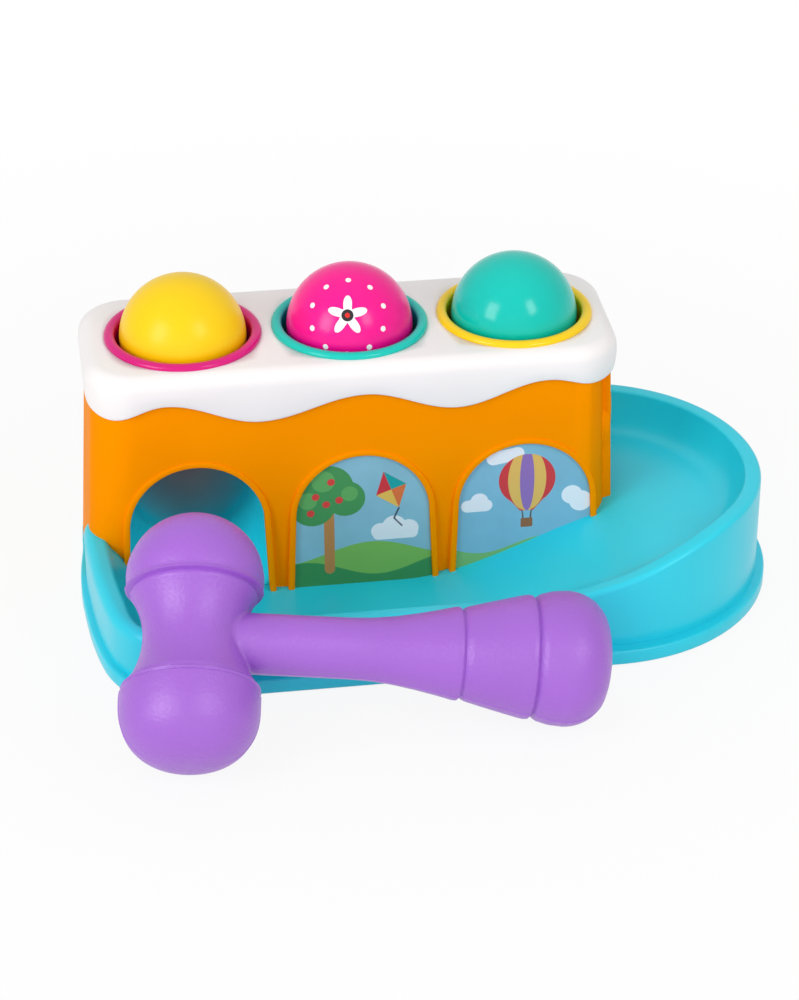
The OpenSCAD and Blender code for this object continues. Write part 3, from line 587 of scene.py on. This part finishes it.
# The skirt: from the flat top's edge over a quarter round, down a wall that bulges and tucks in again, to a
# wavy lower edge. Crests and drips are set along the edge's length.
def coverSurfaces(c):
    inX, inY, r = c["halfX"] - c["round"], c["halfY"] - c["round"], c["corner"] - c["round"]
    flatX, flatY, half, mid = inX - r, inY - r, pitch / 2.0, house["mid"]
    parts, normals, cuts, count = [], [], {}, 0

    def run(points, normal, name=None):
        nonlocal count
        parts.append(points)
        normals.append(np.broadcast_to(normal, points.shape))
        if name:
            cuts[name] = count
        count += len(points)

    def straight(x0, y0, x1, y1, n):
        s = np.linspace(0.0, 1.0, n + 1)[:-1, None]
        return np.concatenate([mix(x0, x1, s), mix(y0, y1, s)], 1)

    def round90(cx, cy, start):
        a = np.radians(np.linspace(start, start + 90.0, 17)[:-1])
        n = np.stack([np.cos(a), np.sin(a)], -1)
        run(np.array([cx, cy]) + r * n, n)

    left, right = mid - flatX, mid + flatX
    run(straight(left, -inY, -half, -inY, 34), (0.0, -1.0))
    run(straight(-half, -inY, half, -inY, 40), (0.0, -1.0), "frontLeft")
    run(straight(half, -inY, right, -inY, 34), (0.0, -1.0), "frontRight")
    round90(right, -flatY, -90.0)
    run(straight(mid + inX, -flatY, mid + inX, flatY, 24), (1.0, 0.0))
    round90(right, flatY, 0.0)
    run(straight(right, inY, half, inY, 34), (0.0, 1.0))
    run(straight(half, inY, -half, inY, 40), (0.0, 1.0), "backRight")
    run(straight(-half, inY, left, inY, 34), (0.0, 1.0), "backLeft")
    round90(left, flatY, 90.0)
    run(straight(mid - inX, flatY, mid - inX, -flatY, 24), (-1.0, 0.0))
    round90(left, -flatY, 180.0)
    loop, normal = np.concatenate(parts), np.concatenate(normals)
    outer = loop + normal * c["round"]
    along = np.concatenate([[0.0], np.cumsum(np.linalg.norm(np.diff(outer, axis=0), axis=1))])
    whole = along[-1] + np.linalg.norm(outer[0] - outer[-1])

    def placeOf(x, y):  # how far along the edge the point nearest to a place lies
        return along[np.argmin(np.hypot(outer[:, 0] - x, outer[:, 1] - y))]

    stops = [(placeOf(x, -c["halfY"]), z) for x, z in zip(c["front"], c["frontZ"])]
    drips = [(placeOf(x, y), z) for x, y, z in c["drips"]]
    stops += [drips[0], (placeOf(mid + c["halfX"], 0.0), c["endZ"]), drips[1]]
    stops += [(placeOf(x, c["halfY"]), z) for x, z in zip(c["front"][::-1], c["frontZ"][::-1])]
    stops += [drips[2], (placeOf(mid - c["halfX"], 0.0), c["endZ"]), drips[3]]
    places, heights = np.array(stops[-1:] + stops + stops[:1]).T   # once round, and one stop past each end
    places[0] -= whole
    places[-1] += whole
    low = through(along, places, heights)

    def ring(out, z):
        return flat3(loop + normal * np.broadcast_to(np.asarray(out, float), low.shape)[:, None], z)

    shoulder = c["top"] - c["round"]
    rows = [ring(0.0, c["top"])]
    rows += [ring(c["round"] * np.sin(a), shoulder + c["round"] * np.cos(a))
             for a in np.radians(np.linspace(0.0, 90.0, 11)[1:])]
    for s in np.linspace(0.0, 1.0, 12)[1:]:
        z = mix(shoulder, low + c["lip"], s)
        rows.append(ring(c["round"] + c["bulge"] * np.sin(np.pi * s) - c["tuck"] * s ** c["tuckPower"], z))
    edge = c["round"] - c["tuck"]
    for a in np.radians((25, 50, 75, 90)):
        rows.append(ring(edge - c["lip"] * (1.0 - np.cos(a)), low + c["lip"] * (1.0 - np.sin(a))))
    skirt = sheet(np.stack(rows), closeCols=True, flip=True)

    def panel(centre, border):  # the flat top round one hole, from the hole's edge out to its border
        a = np.arctan2(border[:, 1], border[:, 0] - centre)
        hole = np.stack([centre + c["holeR"] * np.cos(a), c["holeR"] * np.sin(a)], -1)
        rows = [flat3(mix(hole, border, s), c["top"]) for s in (0.0, 0.5, 1.0)]
        return sheet(np.stack(rows), closeCols=True, flip=True)

    s = np.linspace(-inY, inY, 41)[1:-1]
    cutRight, cutLeft = np.stack([0 * s + half, s], -1), np.stack([0 * s - half, s], -1)
    fl, fr, br, bl = cuts["frontLeft"], cuts["frontRight"], cuts["backRight"], cuts["backLeft"]
    middle = np.concatenate([loop[fl:fr + 1], cutRight, loop[br:bl + 1], cutLeft[::-1]])
    rightEnd = np.concatenate([loop[fr:br + 1], cutRight[::-1]])
    leftEnd = np.concatenate([loop[bl:], loop[:fl + 1], cutLeft])
    return [skirt, panel(0.0, middle), panel(pitch, rightEnd), panel(-pitch, leftEnd)]


makePiece("cover", coverSurfaces(cover), whiteFinish, "toy", ["top_cover"],
          wall=cover["wall"], closed=False)
print("cover made")

# Collars, rings and balls

collar = dict(boreR=25.7, tubeR=28.2, lipR=29.8, low=84.0, middle=92.0, boreTop=98.5, top=100.0,
              lipUp=0.1, lipH=1.9, lipPower=0.8, lipIn=0.2, lipLow=0.15, tubeLow=0.2)


def turned(section, x, y, count=128):  # a section of radius and height, turned about an upright axis
    section = np.asarray(section, float)
    a = np.linspace(0.0, 2.0 * np.pi, count, endpoint=False)[:, None]
    r, z = section[None, :, 0], section[None, :, 1]
    return np.stack(np.broadcast_arrays(x + r * np.cos(a), y + r * np.sin(a), z), -1)


def collarSurface(c, x):  # the tube's bore, a lip that is half an ellipse, the tube's outside
    a = np.radians(np.linspace(180.0, 0.0, 17))
    middle, halfW = (c["boreR"] + c["lipR"]) / 2.0, (c["lipR"] - c["boreR"]) / 2.0
    lip = np.stack([middle + halfW * np.cos(a), c["top"] + c["lipUp"] + c["lipH"] * np.sin(a) ** c["lipPower"]], -1)
    inside = [[c["boreR"], z] for z in (c["low"], c["middle"], c["boreTop"])]
    outside = [[c["lipR"] - c["lipIn"], c["top"] - c["lipLow"]], [c["tubeR"], c["top"] - c["tubeLow"]],
               [c["tubeR"], c["middle"]], [c["tubeR"], c["low"]]]
    section = np.concatenate([inside, lip, outside])
    return sheet(turned(section, x, 0.0), closeRows=True, closeCols=True)


collarFinishes = dict(left=(-1, pinkFinish, "pink_plastic"), middle=(0, tealFinish, "teal_plastic"),
                      right=(1, yellowFinish, "yellow_plastic"))
for side, (i, finish, slot) in collarFinishes.items():
    makePiece("collar_" + side + "_lip", [collarSurface(collar, i * pitch)], finish, "toy",
              ["collar_" + side])
    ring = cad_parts["grip_ring_" + side]
    ring.data.materials.clear()
    ring.data.materials.append(ringFinish)

ball = dict(r=24.0, z=99.3, rows=97, cols=192)


def ballSurface(b, x):
    up = np.linspace(0.0, np.pi, b["rows"])[:, None]
    a = np.linspace(0.0, 2.0 * np.pi, b["cols"], endpoint=False)[None, :]
    n = np.stack(np.broadcast_arrays(np.sin(up) * np.cos(a), np.sin(up) * np.sin(a), np.cos(up) + 0 * a), -1)
    return n, sheet(np.array([x, 0.0, b["z"]]) + b["r"] * n, closeCols=True)


flower = dict(facing=(-0.13, -0.80, 0.585), petalR=5.2, petalOut=2.6, petals=5, seedR=2.3, heartR=1.0,
              dots=10, dotR=1.1, dotTurn=0.62)   # the ring of dots lies this angle from the middle, in radians


# Flower print: every point keeps its distance in millimetres, along the ball, from each print's edge. The petals'
# edge is a circle whose radius swings with the cosine of five times the turn.
def flowerMarks(n, b, f):
    facing = np.array(f["facing"])
    facing /= np.linalg.norm(facing)
    side = np.cross([0.0, 0.0, 1.0], facing)
    side /= np.linalg.norm(side)
    up = np.cross(facing, side)
    angle = np.arccos(np.clip(n @ facing, -1.0, 1.0))
    turn = np.arctan2(n @ up, n @ side)
    away = angle * b["r"]
    petals = away - (f["petalR"] + f["petalOut"] * np.cos(f["petals"] * (turn - np.pi / 2.0)))
    at = 2.0 * np.pi * (np.arange(f["dots"])[:, None] + 0.5) / f["dots"]
    spots = facing * np.cos(f["dotTurn"]) + (side * np.cos(at) + up * np.sin(at)) * np.sin(f["dotTurn"])
    dots = np.arccos(np.clip(n @ spots.T, -1.0, 1.0)).min(-1) * b["r"] - f["dotR"]
    return dict(petals=petals, seed=away - f["seedR"], seedHeart=away - f["heartR"], dots=dots)


def addMark(tree, name, edge=0.06):  # 1 inside a print's edge, 0 outside
    node = tree.nodes.new("ShaderNodeAttribute")
    node.attribute_name = name
    return addRange(tree, node.outputs["Fac"], -edge, edge, 1.0, 0.0)


def ballPlastic(name, colour, rough, prints=()):
    finish = plastic(name, colour, rough, 700.0, 0.004, 0.03, glow=0.15, shine=0.33)
    tree = finish.node_tree
    shader = shaderOf(finish)
    socket = shader.inputs["Base Color"]
    for mark, ink in prints:
        under = socket.links[0].from_socket
        tree.links.new(addColourMix(tree, addMark(tree, mark), under, ink), socket)
    return finish


ballFinishes = dict(
    left=(-1, ballPlastic("yellow ball", paint["yellow"], 0.33), "yellow_plastic"),
    middle=(0, ballPlastic("pink ball", paint["pink"], 0.22, (
        ("petals", linear(250, 248, 248)), ("dots", linear(250, 248, 248)),
        ("seed", linear(50, 44, 50)), ("seedHeart", linear(225, 45, 40)))), "pink_plastic"),
    right=(1, ballPlastic("teal ball", paint["teal"], 0.17), "teal_plastic"),
)
for side, (i, finish, slot) in ballFinishes.items():
    n, surface = ballSurface(ball, i * pitch)
    makePiece("ball_" + side + "_skin", [surface], finish, "ball_" + side, ["ball_" + side],
              marks=flowerMarks(n, ball, flower) if side == "middle" else None)
print("collars and balls made")

# Pictures

picture = dict(behind=1.5, thick=0.4, grow=0.3, rows=121, cols=105)


def pictureSurface(centre):  # every level of the arch from leg to leg, closing at its top
    h, p = house, picture
    v = np.linspace(0.0, 1.0, p["rows"])
    legs, r = v < 0.5, h["archR"] + p["grow"]
    z = np.where(legs, mix(h["bottom"], h["archZ"], v / 0.5),
                 h["archZ"] + r * np.sin(np.clip((v - 0.5) * np.pi, 0.0, np.pi / 2.0)))
    half = np.where(legs, archHalf(z) + p["grow"], np.sqrt(np.maximum(r ** 2 - (z - h["archZ"]) ** 2, 0.0)))
    u = np.linspace(-1.0, 1.0, p["cols"])[None, :] * half[:, None]
    z = z[:, None] + 0 * u
    y = -(h["topY"] + spread(z) + h["frameOut"]) + p["behind"]
    return u, z, sheet(np.stack([centre + u, y, z], -1))


def circle(u, z, cu, cz, r):
    return np.hypot(u - cu, z - cz) - r


def bar(u, z, u0, z0, u1, z1, r):  # a stroke with round ends
    du, dz = u1 - u0, z1 - z0
    t = np.clip(((u - u0) * du + (z - z0) * dz) / (du * du + dz * dz), 0.0, 1.0)
    return np.hypot(u - u0 - t * du, z - z0 - t * dz) - r


def joined(*shapes):
    return np.minimum.reduce(shapes)


def gardenMarks(u, z):  # hills, an apple tree, a kite and a cloud
    crown = joined(circle(u, z, -13.0, 47.5, 9.5), circle(u, z, -19.0, 40.0, 8.5), circle(u, z, -6.5, 42.5, 7.5))
    kiteU, kiteZ = (u - 11.0) * 0.94 + (z - 45.0) * 0.34, -(u - 11.0) * 0.34 + (z - 45.0) * 0.94
    diamond = (np.abs(kiteU) / 6.2 + np.abs(kiteZ) / 8.5 - 1.0) * 5.0
    apples = joined(*[circle(u, z, a, b, 1.5) for a, b in ((-18, 44), (-12, 50), (-9, 42), (-20, 37), (-14, 40.5))])
    return dict(
        cloud=joined(circle(u, z, 12.0, 29.0, 4.6), circle(u, z, 17.5, 27.5, 4.0), circle(u, z, 6.5, 27.3, 3.4),
                     bar(u, z, 6.0, 25.6, 19.0, 25.6, 2.2)),
        farHill=z - (19.0 + 4.0 * np.sin((u + 14.0) / 11.0)), nearHill=z - (12.0 + 3.5 * np.sin((u - 20.0) / 9.0)),
        trunk=bar(u, z, -13.0, 12.0, -13.0, 40.0, 2.0), crown=crown, crownLight=joined(
            circle(u, z, -15.0, 50.5, 4.5), circle(u, z, -21.0, 42.5, 3.6), circle(u, z, -5.0, 44.5, 3.2)),
        apples=apples, tail=joined(bar(u, z, 14.0, 37.0, 12.0, 32.5, 0.35), bar(u, z, 12.0, 32.5, 15.0, 29.0, 0.35)),
        kiteRed=diamond, kiteTeal=np.maximum(diamond, -kiteU * 0.9), kiteYellow=np.maximum(diamond, kiteZ * 0.9),
        kiteOrange=np.maximum(np.maximum(diamond, kiteZ * 0.9), -kiteU * 0.9))


def skyMarks(u, z):  # a striped balloon with a basket, clouds and a far hill
    envelope = joined(circle(u, z, 1.0, 45.0, 11.0),
                      np.maximum(np.abs(u - 1.0) - mix(2.6, 9.6, np.clip((z - 31.5) / 8.5, 0.0, 1.0)),
                                 np.abs(z - 36.0) - 4.5))
    across = np.abs(u - 1.0) / np.sqrt(np.maximum(1.0 - ((z - 45.0) / 13.6) ** 2, 0.04))
    return dict(
        cloud=joined(bar(u, z, -12.0, 55.0, -3.0, 56.5, 2.8), circle(u, z, 18.5, 37.0, 4.0),
                     circle(u, z, 22.0, 34.0, 4.4), bar(u, z, -22.0, 35.0, -15.0, 35.0, 2.6),
                     circle(u, z, -17.5, 37.0, 3.4)),
        farHill=z - (17.0 + 3.0 * np.sin((u + 4.0) / 8.0)),
        balloonRed=envelope, balloonYellow=np.maximum(envelope, across - 7.4),
        balloonPurple=np.maximum(envelope, across - 2.8),
        ropes=joined(bar(u, z, -0.8, 31.5, -0.4, 28.0, 0.3), bar(u, z, 2.8, 31.5, 2.4, 28.0, 0.3)),
        basket=np.maximum(np.abs(u - 1.0) - 2.3, np.abs(z - 26.2) - 2.0))


# Printed film: flat inks laid one over another, a slight paper tooth and a soft gloss
def printed(name, ground, inks):
    finish, tree, shader = newFinish(name)
    tint = addRange(tree, addNoise(tree, 60.0, 3.0), 0.3, 0.7, 0.0, 1.0)
    colour = addColourMix(tree, tint, shade(ground, 0.94), shade(ground, 1.06))
    for mark, ink in inks:
        colour = addColourMix(tree, addMark(tree, mark, 0.08), colour, ink)
    tree.links.new(colour, shader.inputs["Base Color"])
    tree.links.new(addRange(tree, addNoise(tree, 400.0), 0.3, 0.7, 0.34, 0.46), shader.inputs["Roughness"])
    addBump(tree, shader, addNoise(tree, 2500.0), 0.004 * mm)
    return finish


gardenFinish = printed("garden print", linear(135, 186, 205), (
    ("cloud", linear(228, 234, 240)), ("farHill", linear(126, 182, 84)), ("nearHill", linear(62, 140, 78)),
    ("trunk", linear(190, 130, 70)), ("crown", linear(70, 146, 82)), ("crownLight", linear(96, 168, 92)),
    ("apples", linear(214, 62, 58)), ("tail", linear(60, 70, 90)), ("kiteRed", linear(206, 50, 58)),
    ("kiteTeal", linear(24, 158, 160)), ("kiteYellow", linear(230, 186, 84)), ("kiteOrange", linear(220, 112, 56))))
skyFinish = printed("sky print", linear(128, 182, 208), (
    ("cloud", linear(232, 234, 242)), ("farHill", linear(126, 182, 110)), ("balloonRed", linear(208, 54, 58)),
    ("balloonYellow", linear(228, 182, 92)), ("balloonPurple", linear(146, 108, 180)),
    ("ropes", linear(90, 66, 50)), ("basket", linear(150, 96, 58))))

for name, centre, marksOf, finish in (("picture_middle_print", house["archAt"][1], gardenMarks, gardenFinish),
                                      ("picture_right_print", house["archAt"][2], skyMarks, skyFinish)):
    u, z, surface = pictureSurface(centre)
    makePiece(name, [surface], finish, "toy", [name[:-6]], wall=picture["thick"], closed=False,
              marks=marksOf(u, z))
print("pictures made")

# Hammer

hammer = dict(
    far=(-69.0, -96.2, 51.8), yaw=-4.0, tilt=6.115, pitch=34.16, bulbOut=24.0, restZ=-0.35,
    bulbs=((25.0, 23.9, 2.45, -0.48), (24.6, 23.8, 2.0, 0.27)),   # near and far: radius, end, power, offset
    waistR=17.6, swell=4.5, bandAt=15.6, step=18.5, under=1.8, offLen=8.0,
    neckR=11.0, blend=1.6, sunk=0.15, hubX=6.0, hubR=10.0, endAt=134.0, endR=24.5, endLen=16.2, endPower=0.62,
    seam=0.28, seamWide=0.5, seamCrowd=0.46, around=220,
    band=((-2.7, 22.2), (-2.3, 22.6), (-1.5, 22.72), (-0.8, 22.74), (-0.4, 22.64), (-0.2, 22.6), (-0.1, 22.8),
          (0.0, 23.5), (0.1, 24.2), (0.25, 24.65), (0.45, 24.85), (0.7, 24.75), (1.0, 24.5), (1.35, 24.4)),
    grip=((0, 11.0), (40, 11.0), (56, 11.05), (64, 11.4), (72, 12.3), (80, 13.7), (88, 15.4), (93.6, 16.75),
          (95.2, 16.85), (95.8, 16.3), (96.4, 15.8), (97.0, 16.4), (98.6, 17.15), (108, 19.6), (118, 22.1),
          (119.8, 22.4), (121.2, 22.3), (121.8, 21.6), (122.4, 21.1), (123.0, 21.8), (124.6, 22.9), (129, 24.1),
          (134, 24.5)),   # band and grip: place along the axis, radius
    gripStops=(34.0, 62.0, 93.0, 99.0, 119.0, 125.0), gripCounts=(10, 26, 21, 14, 21, 9),   # closer at the grooves
)


def hammerPlace(points):  # head along Y and handle along X, set down where the solid lies
    h = hammer
    place = (Matrix.Translation(h["far"]) @ Matrix.Rotation(math.radians(h["yaw"]), 4, "Z")
             @ Matrix.Rotation(math.radians(h["tilt"]), 4, "Y") @ Matrix.Rotation(math.radians(h["pitch"]), 4, "X")
             @ Matrix.Translation((0.0, -h["bulbOut"], 0.0)))
    m = np.array(place)
    return points @ m[:3, :3].T + m[:3, 3]


def aroundAngles(h):  # closer together at the two seams, where the mould's halves met
    t = np.linspace(0.0, 2.0 * np.pi, h["around"], endpoint=False)
    return t - h["seamCrowd"] * np.sin(2.0 * t)


def seamRidge(h, a, r):  # a low ridge at angle 0 and half a turn from it
    return h["seam"] * np.exp(-((r * np.sin(a)) / h["seamWide"]) ** 2)


def waistAt(h, s):  # the waist's radius grows with the square of the way from the middle
    return h["waistR"] + h["swell"] * (s / h["bandAt"]) ** 2.0


# Half of the head: waist, a narrow band, a rounded lip, and a bulb whose section is an ellipse of a power of
# two or a little more, turned about Y. The bulb's centre lies a little off the waist's.
def halfHead(h, end, toFar):
    radius, reach, n, offset = end
    s = np.linspace(0.0, h["bandAt"], 18)
    band, bandR = np.array(h["band"]).T
    q = np.linspace(-np.arcsin(((h["bulbOut"] - h["step"] - h["under"]) / reach) ** (n / 2.0)), np.pi / 2.0, 46)
    bulb = h["bulbOut"] + reach * np.sign(q) * np.abs(np.sin(q)) ** (2.0 / n)
    r = np.concatenate([waistAt(h, s), bandR, radius * np.abs(np.cos(q)) ** (2.0 / n)])[:, None]
    s = np.concatenate([s, h["step"] + band, bulb])[:, None]
    a = aroundAngles(h)[None, :]
    full = r + seamRidge(h, a, r) * np.clip(r / 2.0, 0.0, 1.0)
    off = offset * ease((s - h["bandAt"]) / h["offLen"])
    way = 1.0 if toFar else -1.0
    return np.stack(np.broadcast_arrays(full * np.cos(a) + off, s * way, full * np.sin(a)), -1)


def headSurface(h):
    points = np.concatenate([halfHead(h, h["bulbs"][0], False)[:0:-1], halfHead(h, h["bulbs"][1], True)])
    points = hammerPlace(points)
    points[..., 2] = np.maximum(points[..., 2], h["restZ"])   # a small flat where it rests
    return sheet(points, closeCols=True)


# Handle: a neck that swells into the head where they meet, then three flared lengths parted by two grooves
# and a round end, turned about X
def handleSurface(h):
    a = aroundAngles(h)[None, :] + np.pi / 2.0
    places, radii = np.array(h["grip"]).T
    stops = (*h["gripStops"], h["endAt"])
    s = np.concatenate([np.linspace(x0, x1, n)[:-1] for x0, x1, n in zip(stops, stops[1:], h["gripCounts"])])
    q = np.linspace(0.0, np.pi / 2.0, 30)
    r = np.concatenate([np.interp(s, places, radii), h["endR"] * np.cos(q) ** h["endPower"]])[:, None]
    s = np.concatenate([s, h["endAt"] + h["endLen"] * np.sin(q)])[:, None]
    full = r + seamRidge(h, a - np.pi / 2.0, r) * np.clip(r / 6.0, 0.0, 1.0)
    grip = np.stack(np.broadcast_arrays(s, full * np.sin(a), full * np.cos(a)), -1)
    turn = np.linspace(0.0, np.pi / 2.0, 12)[:, None]
    neck = h["neckR"] + h["blend"] * (1.0 - np.sin(turn))   # a quarter round from the head's skin to the neck
    offY, offZ = neck * np.sin(a), neck * np.cos(a)
    skin = np.sqrt(np.maximum(waistAt(h, offY) ** 2 - offZ ** 2, 1.0)) - h["sunk"]
    start = skin + h["blend"] * (1.0 - np.cos(turn))
    root = np.stack(np.broadcast_arrays(start, offY, offZ), -1)
    hub = np.zeros((1, grip.shape[1], 3)) + np.array([h["hubX"], 0.0, 0.0])   # closes the handle inside the head
    inner = np.stack(np.broadcast_arrays(h["hubX"], h["hubR"] * np.sin(a), h["hubR"] * np.cos(a)), -1)
    return sheet(hammerPlace(np.concatenate([hub, inner, root, grip])), closeCols=True)


makePiece("hammer_skin", [headSurface(hammer), handleSurface(hammer)], purpleFinish, "hammer",
          ["hammer"])
print("hammer made")

for node in ("cover_screws", "base_screws"):
    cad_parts[node].data.materials.clear()
    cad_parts[node].data.materials.append(steelFinish)

# Floor, light and camera

studio = dict(
    target=(15.9, -23.0, 33.6), azimuth=-8.23, elevation=31.25, distance=1194.0, focal=3100.0, frameHeight=1000.0,
    sensor=36.0, floorHalf=6000.0, floorDown=0.4, floorGrey=0.76, shadowNear=150.0, shadowFar=420.0, shadowKeep=0.9,
    domeLow=0.44, domeHigh=1.1, lightAt=(0.0, -20.0, 60.0),
)


def addMath(tree, operation, first, second):
    node = tree.nodes.new("ShaderNodeMath")
    node.operation = operation
    tree.links.new(first, node.inputs[0])
    tree.links.new(second, node.inputs[1])
    return node.outputs[0]


def addSeen(tree):  # 1 where the camera, gloss or glass sees the surface, 0 where it lights the object
    path = tree.nodes.new("ShaderNodeLightPath")
    either = addMath(tree, "MAXIMUM", path.outputs["Is Camera Ray"], path.outputs["Is Glossy Ray"])
    return addMath(tree, "MAXIMUM", either, path.outputs["Is Transmission Ray"])


half = studio["floorHalf"] * mm
floorMesh = bpy.data.meshes.new("floor")
floorMesh.from_pydata([(-half, -half, 0), (half, -half, 0), (half, half, 0), (-half, half, 0)], [], [(0, 1, 2, 3)])
floor = bpy.data.objects.new("floor", floorMesh)
floor.location.z = -studio["floorDown"] * mm
bpy.context.scene.collection.objects.link(floor)
floorFinish = bpy.data.materials.new("white sweep")
floorFinish.use_nodes = True
tree = floorFinish.node_tree
tree.nodes.clear()
out = tree.nodes.new("ShaderNodeOutputMaterial")
matt = tree.nodes.new("ShaderNodeBsdfDiffuse")
matt.inputs["Color"].default_value = (studio["floorGrey"],) * 3 + (1.0,)
lit = tree.nodes.new("ShaderNodeEmission")
lit.inputs["Strength"].default_value = 1.0
place = tree.nodes.new("ShaderNodeTexCoord")
away = tree.nodes.new("ShaderNodeVectorMath")
away.operation = "LENGTH"
tree.links.new(place.outputs["Object"], away.inputs[0])
white = addRange(tree, away.outputs["Value"], studio["shadowNear"] * mm, studio["shadowFar"] * mm,
                 studio["shadowKeep"], 1.0)   # the toy's shadow shows near it, and the floor is white further off
blendShader = tree.nodes.new("ShaderNodeMixShader")
tree.links.new(addMath(tree, "MULTIPLY", white, addSeen(tree)), blendShader.inputs[0])
tree.links.new(matt.outputs[0], blendShader.inputs[1])
tree.links.new(lit.outputs[0], blendShader.inputs[2])
tree.links.new(blendShader.outputs[0], out.inputs[0])
floorMesh.materials.append(floorFinish)

world = bpy.data.worlds.new("studio")
world.use_nodes = True
bpy.context.scene.world = world
tree = world.node_tree
tree.nodes.clear()
out = tree.nodes.new("ShaderNodeOutputWorld")
sky = tree.nodes.new("ShaderNodeBackground")
way = tree.nodes.new("ShaderNodeTexCoord")
parts = tree.nodes.new("ShaderNodeSeparateXYZ")
tree.links.new(way.outputs["Generated"], parts.inputs[0])
dome = addRange(tree, parts.outputs["Z"], 0.0, 1.0, studio["domeLow"], studio["domeHigh"])   # brighter overhead
tree.links.new(addMath(tree, "MAXIMUM", dome, addSeen(tree)), sky.inputs["Strength"])
tree.links.new(sky.outputs[0], out.inputs[0])

softBoxes = dict(   # in metres and watts
    left=dict(way=(-0.73, -0.52, 0.44), away=1.15, size=(0.44, 0.60), power=4.6, mirrored=True),
    right=dict(way=(0.42, -0.70, 0.57), away=1.25, size=(0.30, 0.50), power=2.7, mirrored=True),
    front=dict(way=(-0.10, -0.97, 0.20), away=1.6, size=(1.5, 0.8), power=4.6, mirrored=False),
)
for name, box in softBoxes.items():
    light = bpy.data.lights.new("soft box " + name, "AREA")
    light.shape = "RECTANGLE"
    light.size, light.size_y = box["size"]
    light.energy = box["power"]
    lamp = bpy.data.objects.new("soft box " + name, light)
    way = Vector(box["way"]).normalized()
    lamp.location = Vector(studio["lightAt"]) * mm + way * box["away"]
    lamp.rotation_euler = way.to_track_quat("Z", "Y").to_euler()
    lamp.visible_glossy = box["mirrored"]   # the front box only fills, and gloss doesn't show it
    bpy.context.scene.collection.objects.link(lamp)

azimuth, elevation = math.radians(studio["azimuth"]), math.radians(studio["elevation"])
back = Vector((math.sin(azimuth) * math.cos(elevation), -math.cos(azimuth) * math.cos(elevation),
               math.sin(elevation)))
cameraData = bpy.data.cameras.new("camera")
cameraData.sensor_fit = "AUTO"
cameraData.sensor_width = studio["sensor"]
cameraData.lens = studio["focal"] / studio["frameHeight"] * cameraData.sensor_width
camera = bpy.data.objects.new("camera", cameraData)
camera.location = (Vector(studio["target"]) + back * studio["distance"]) * mm
camera.rotation_euler = back.to_track_quat("Z", "Y").to_euler()
bpy.context.scene.collection.objects.link(camera)
bpy.context.scene.camera = camera
bpy.context.scene.view_settings.view_transform = "Standard"
print("stage, light and camera made")
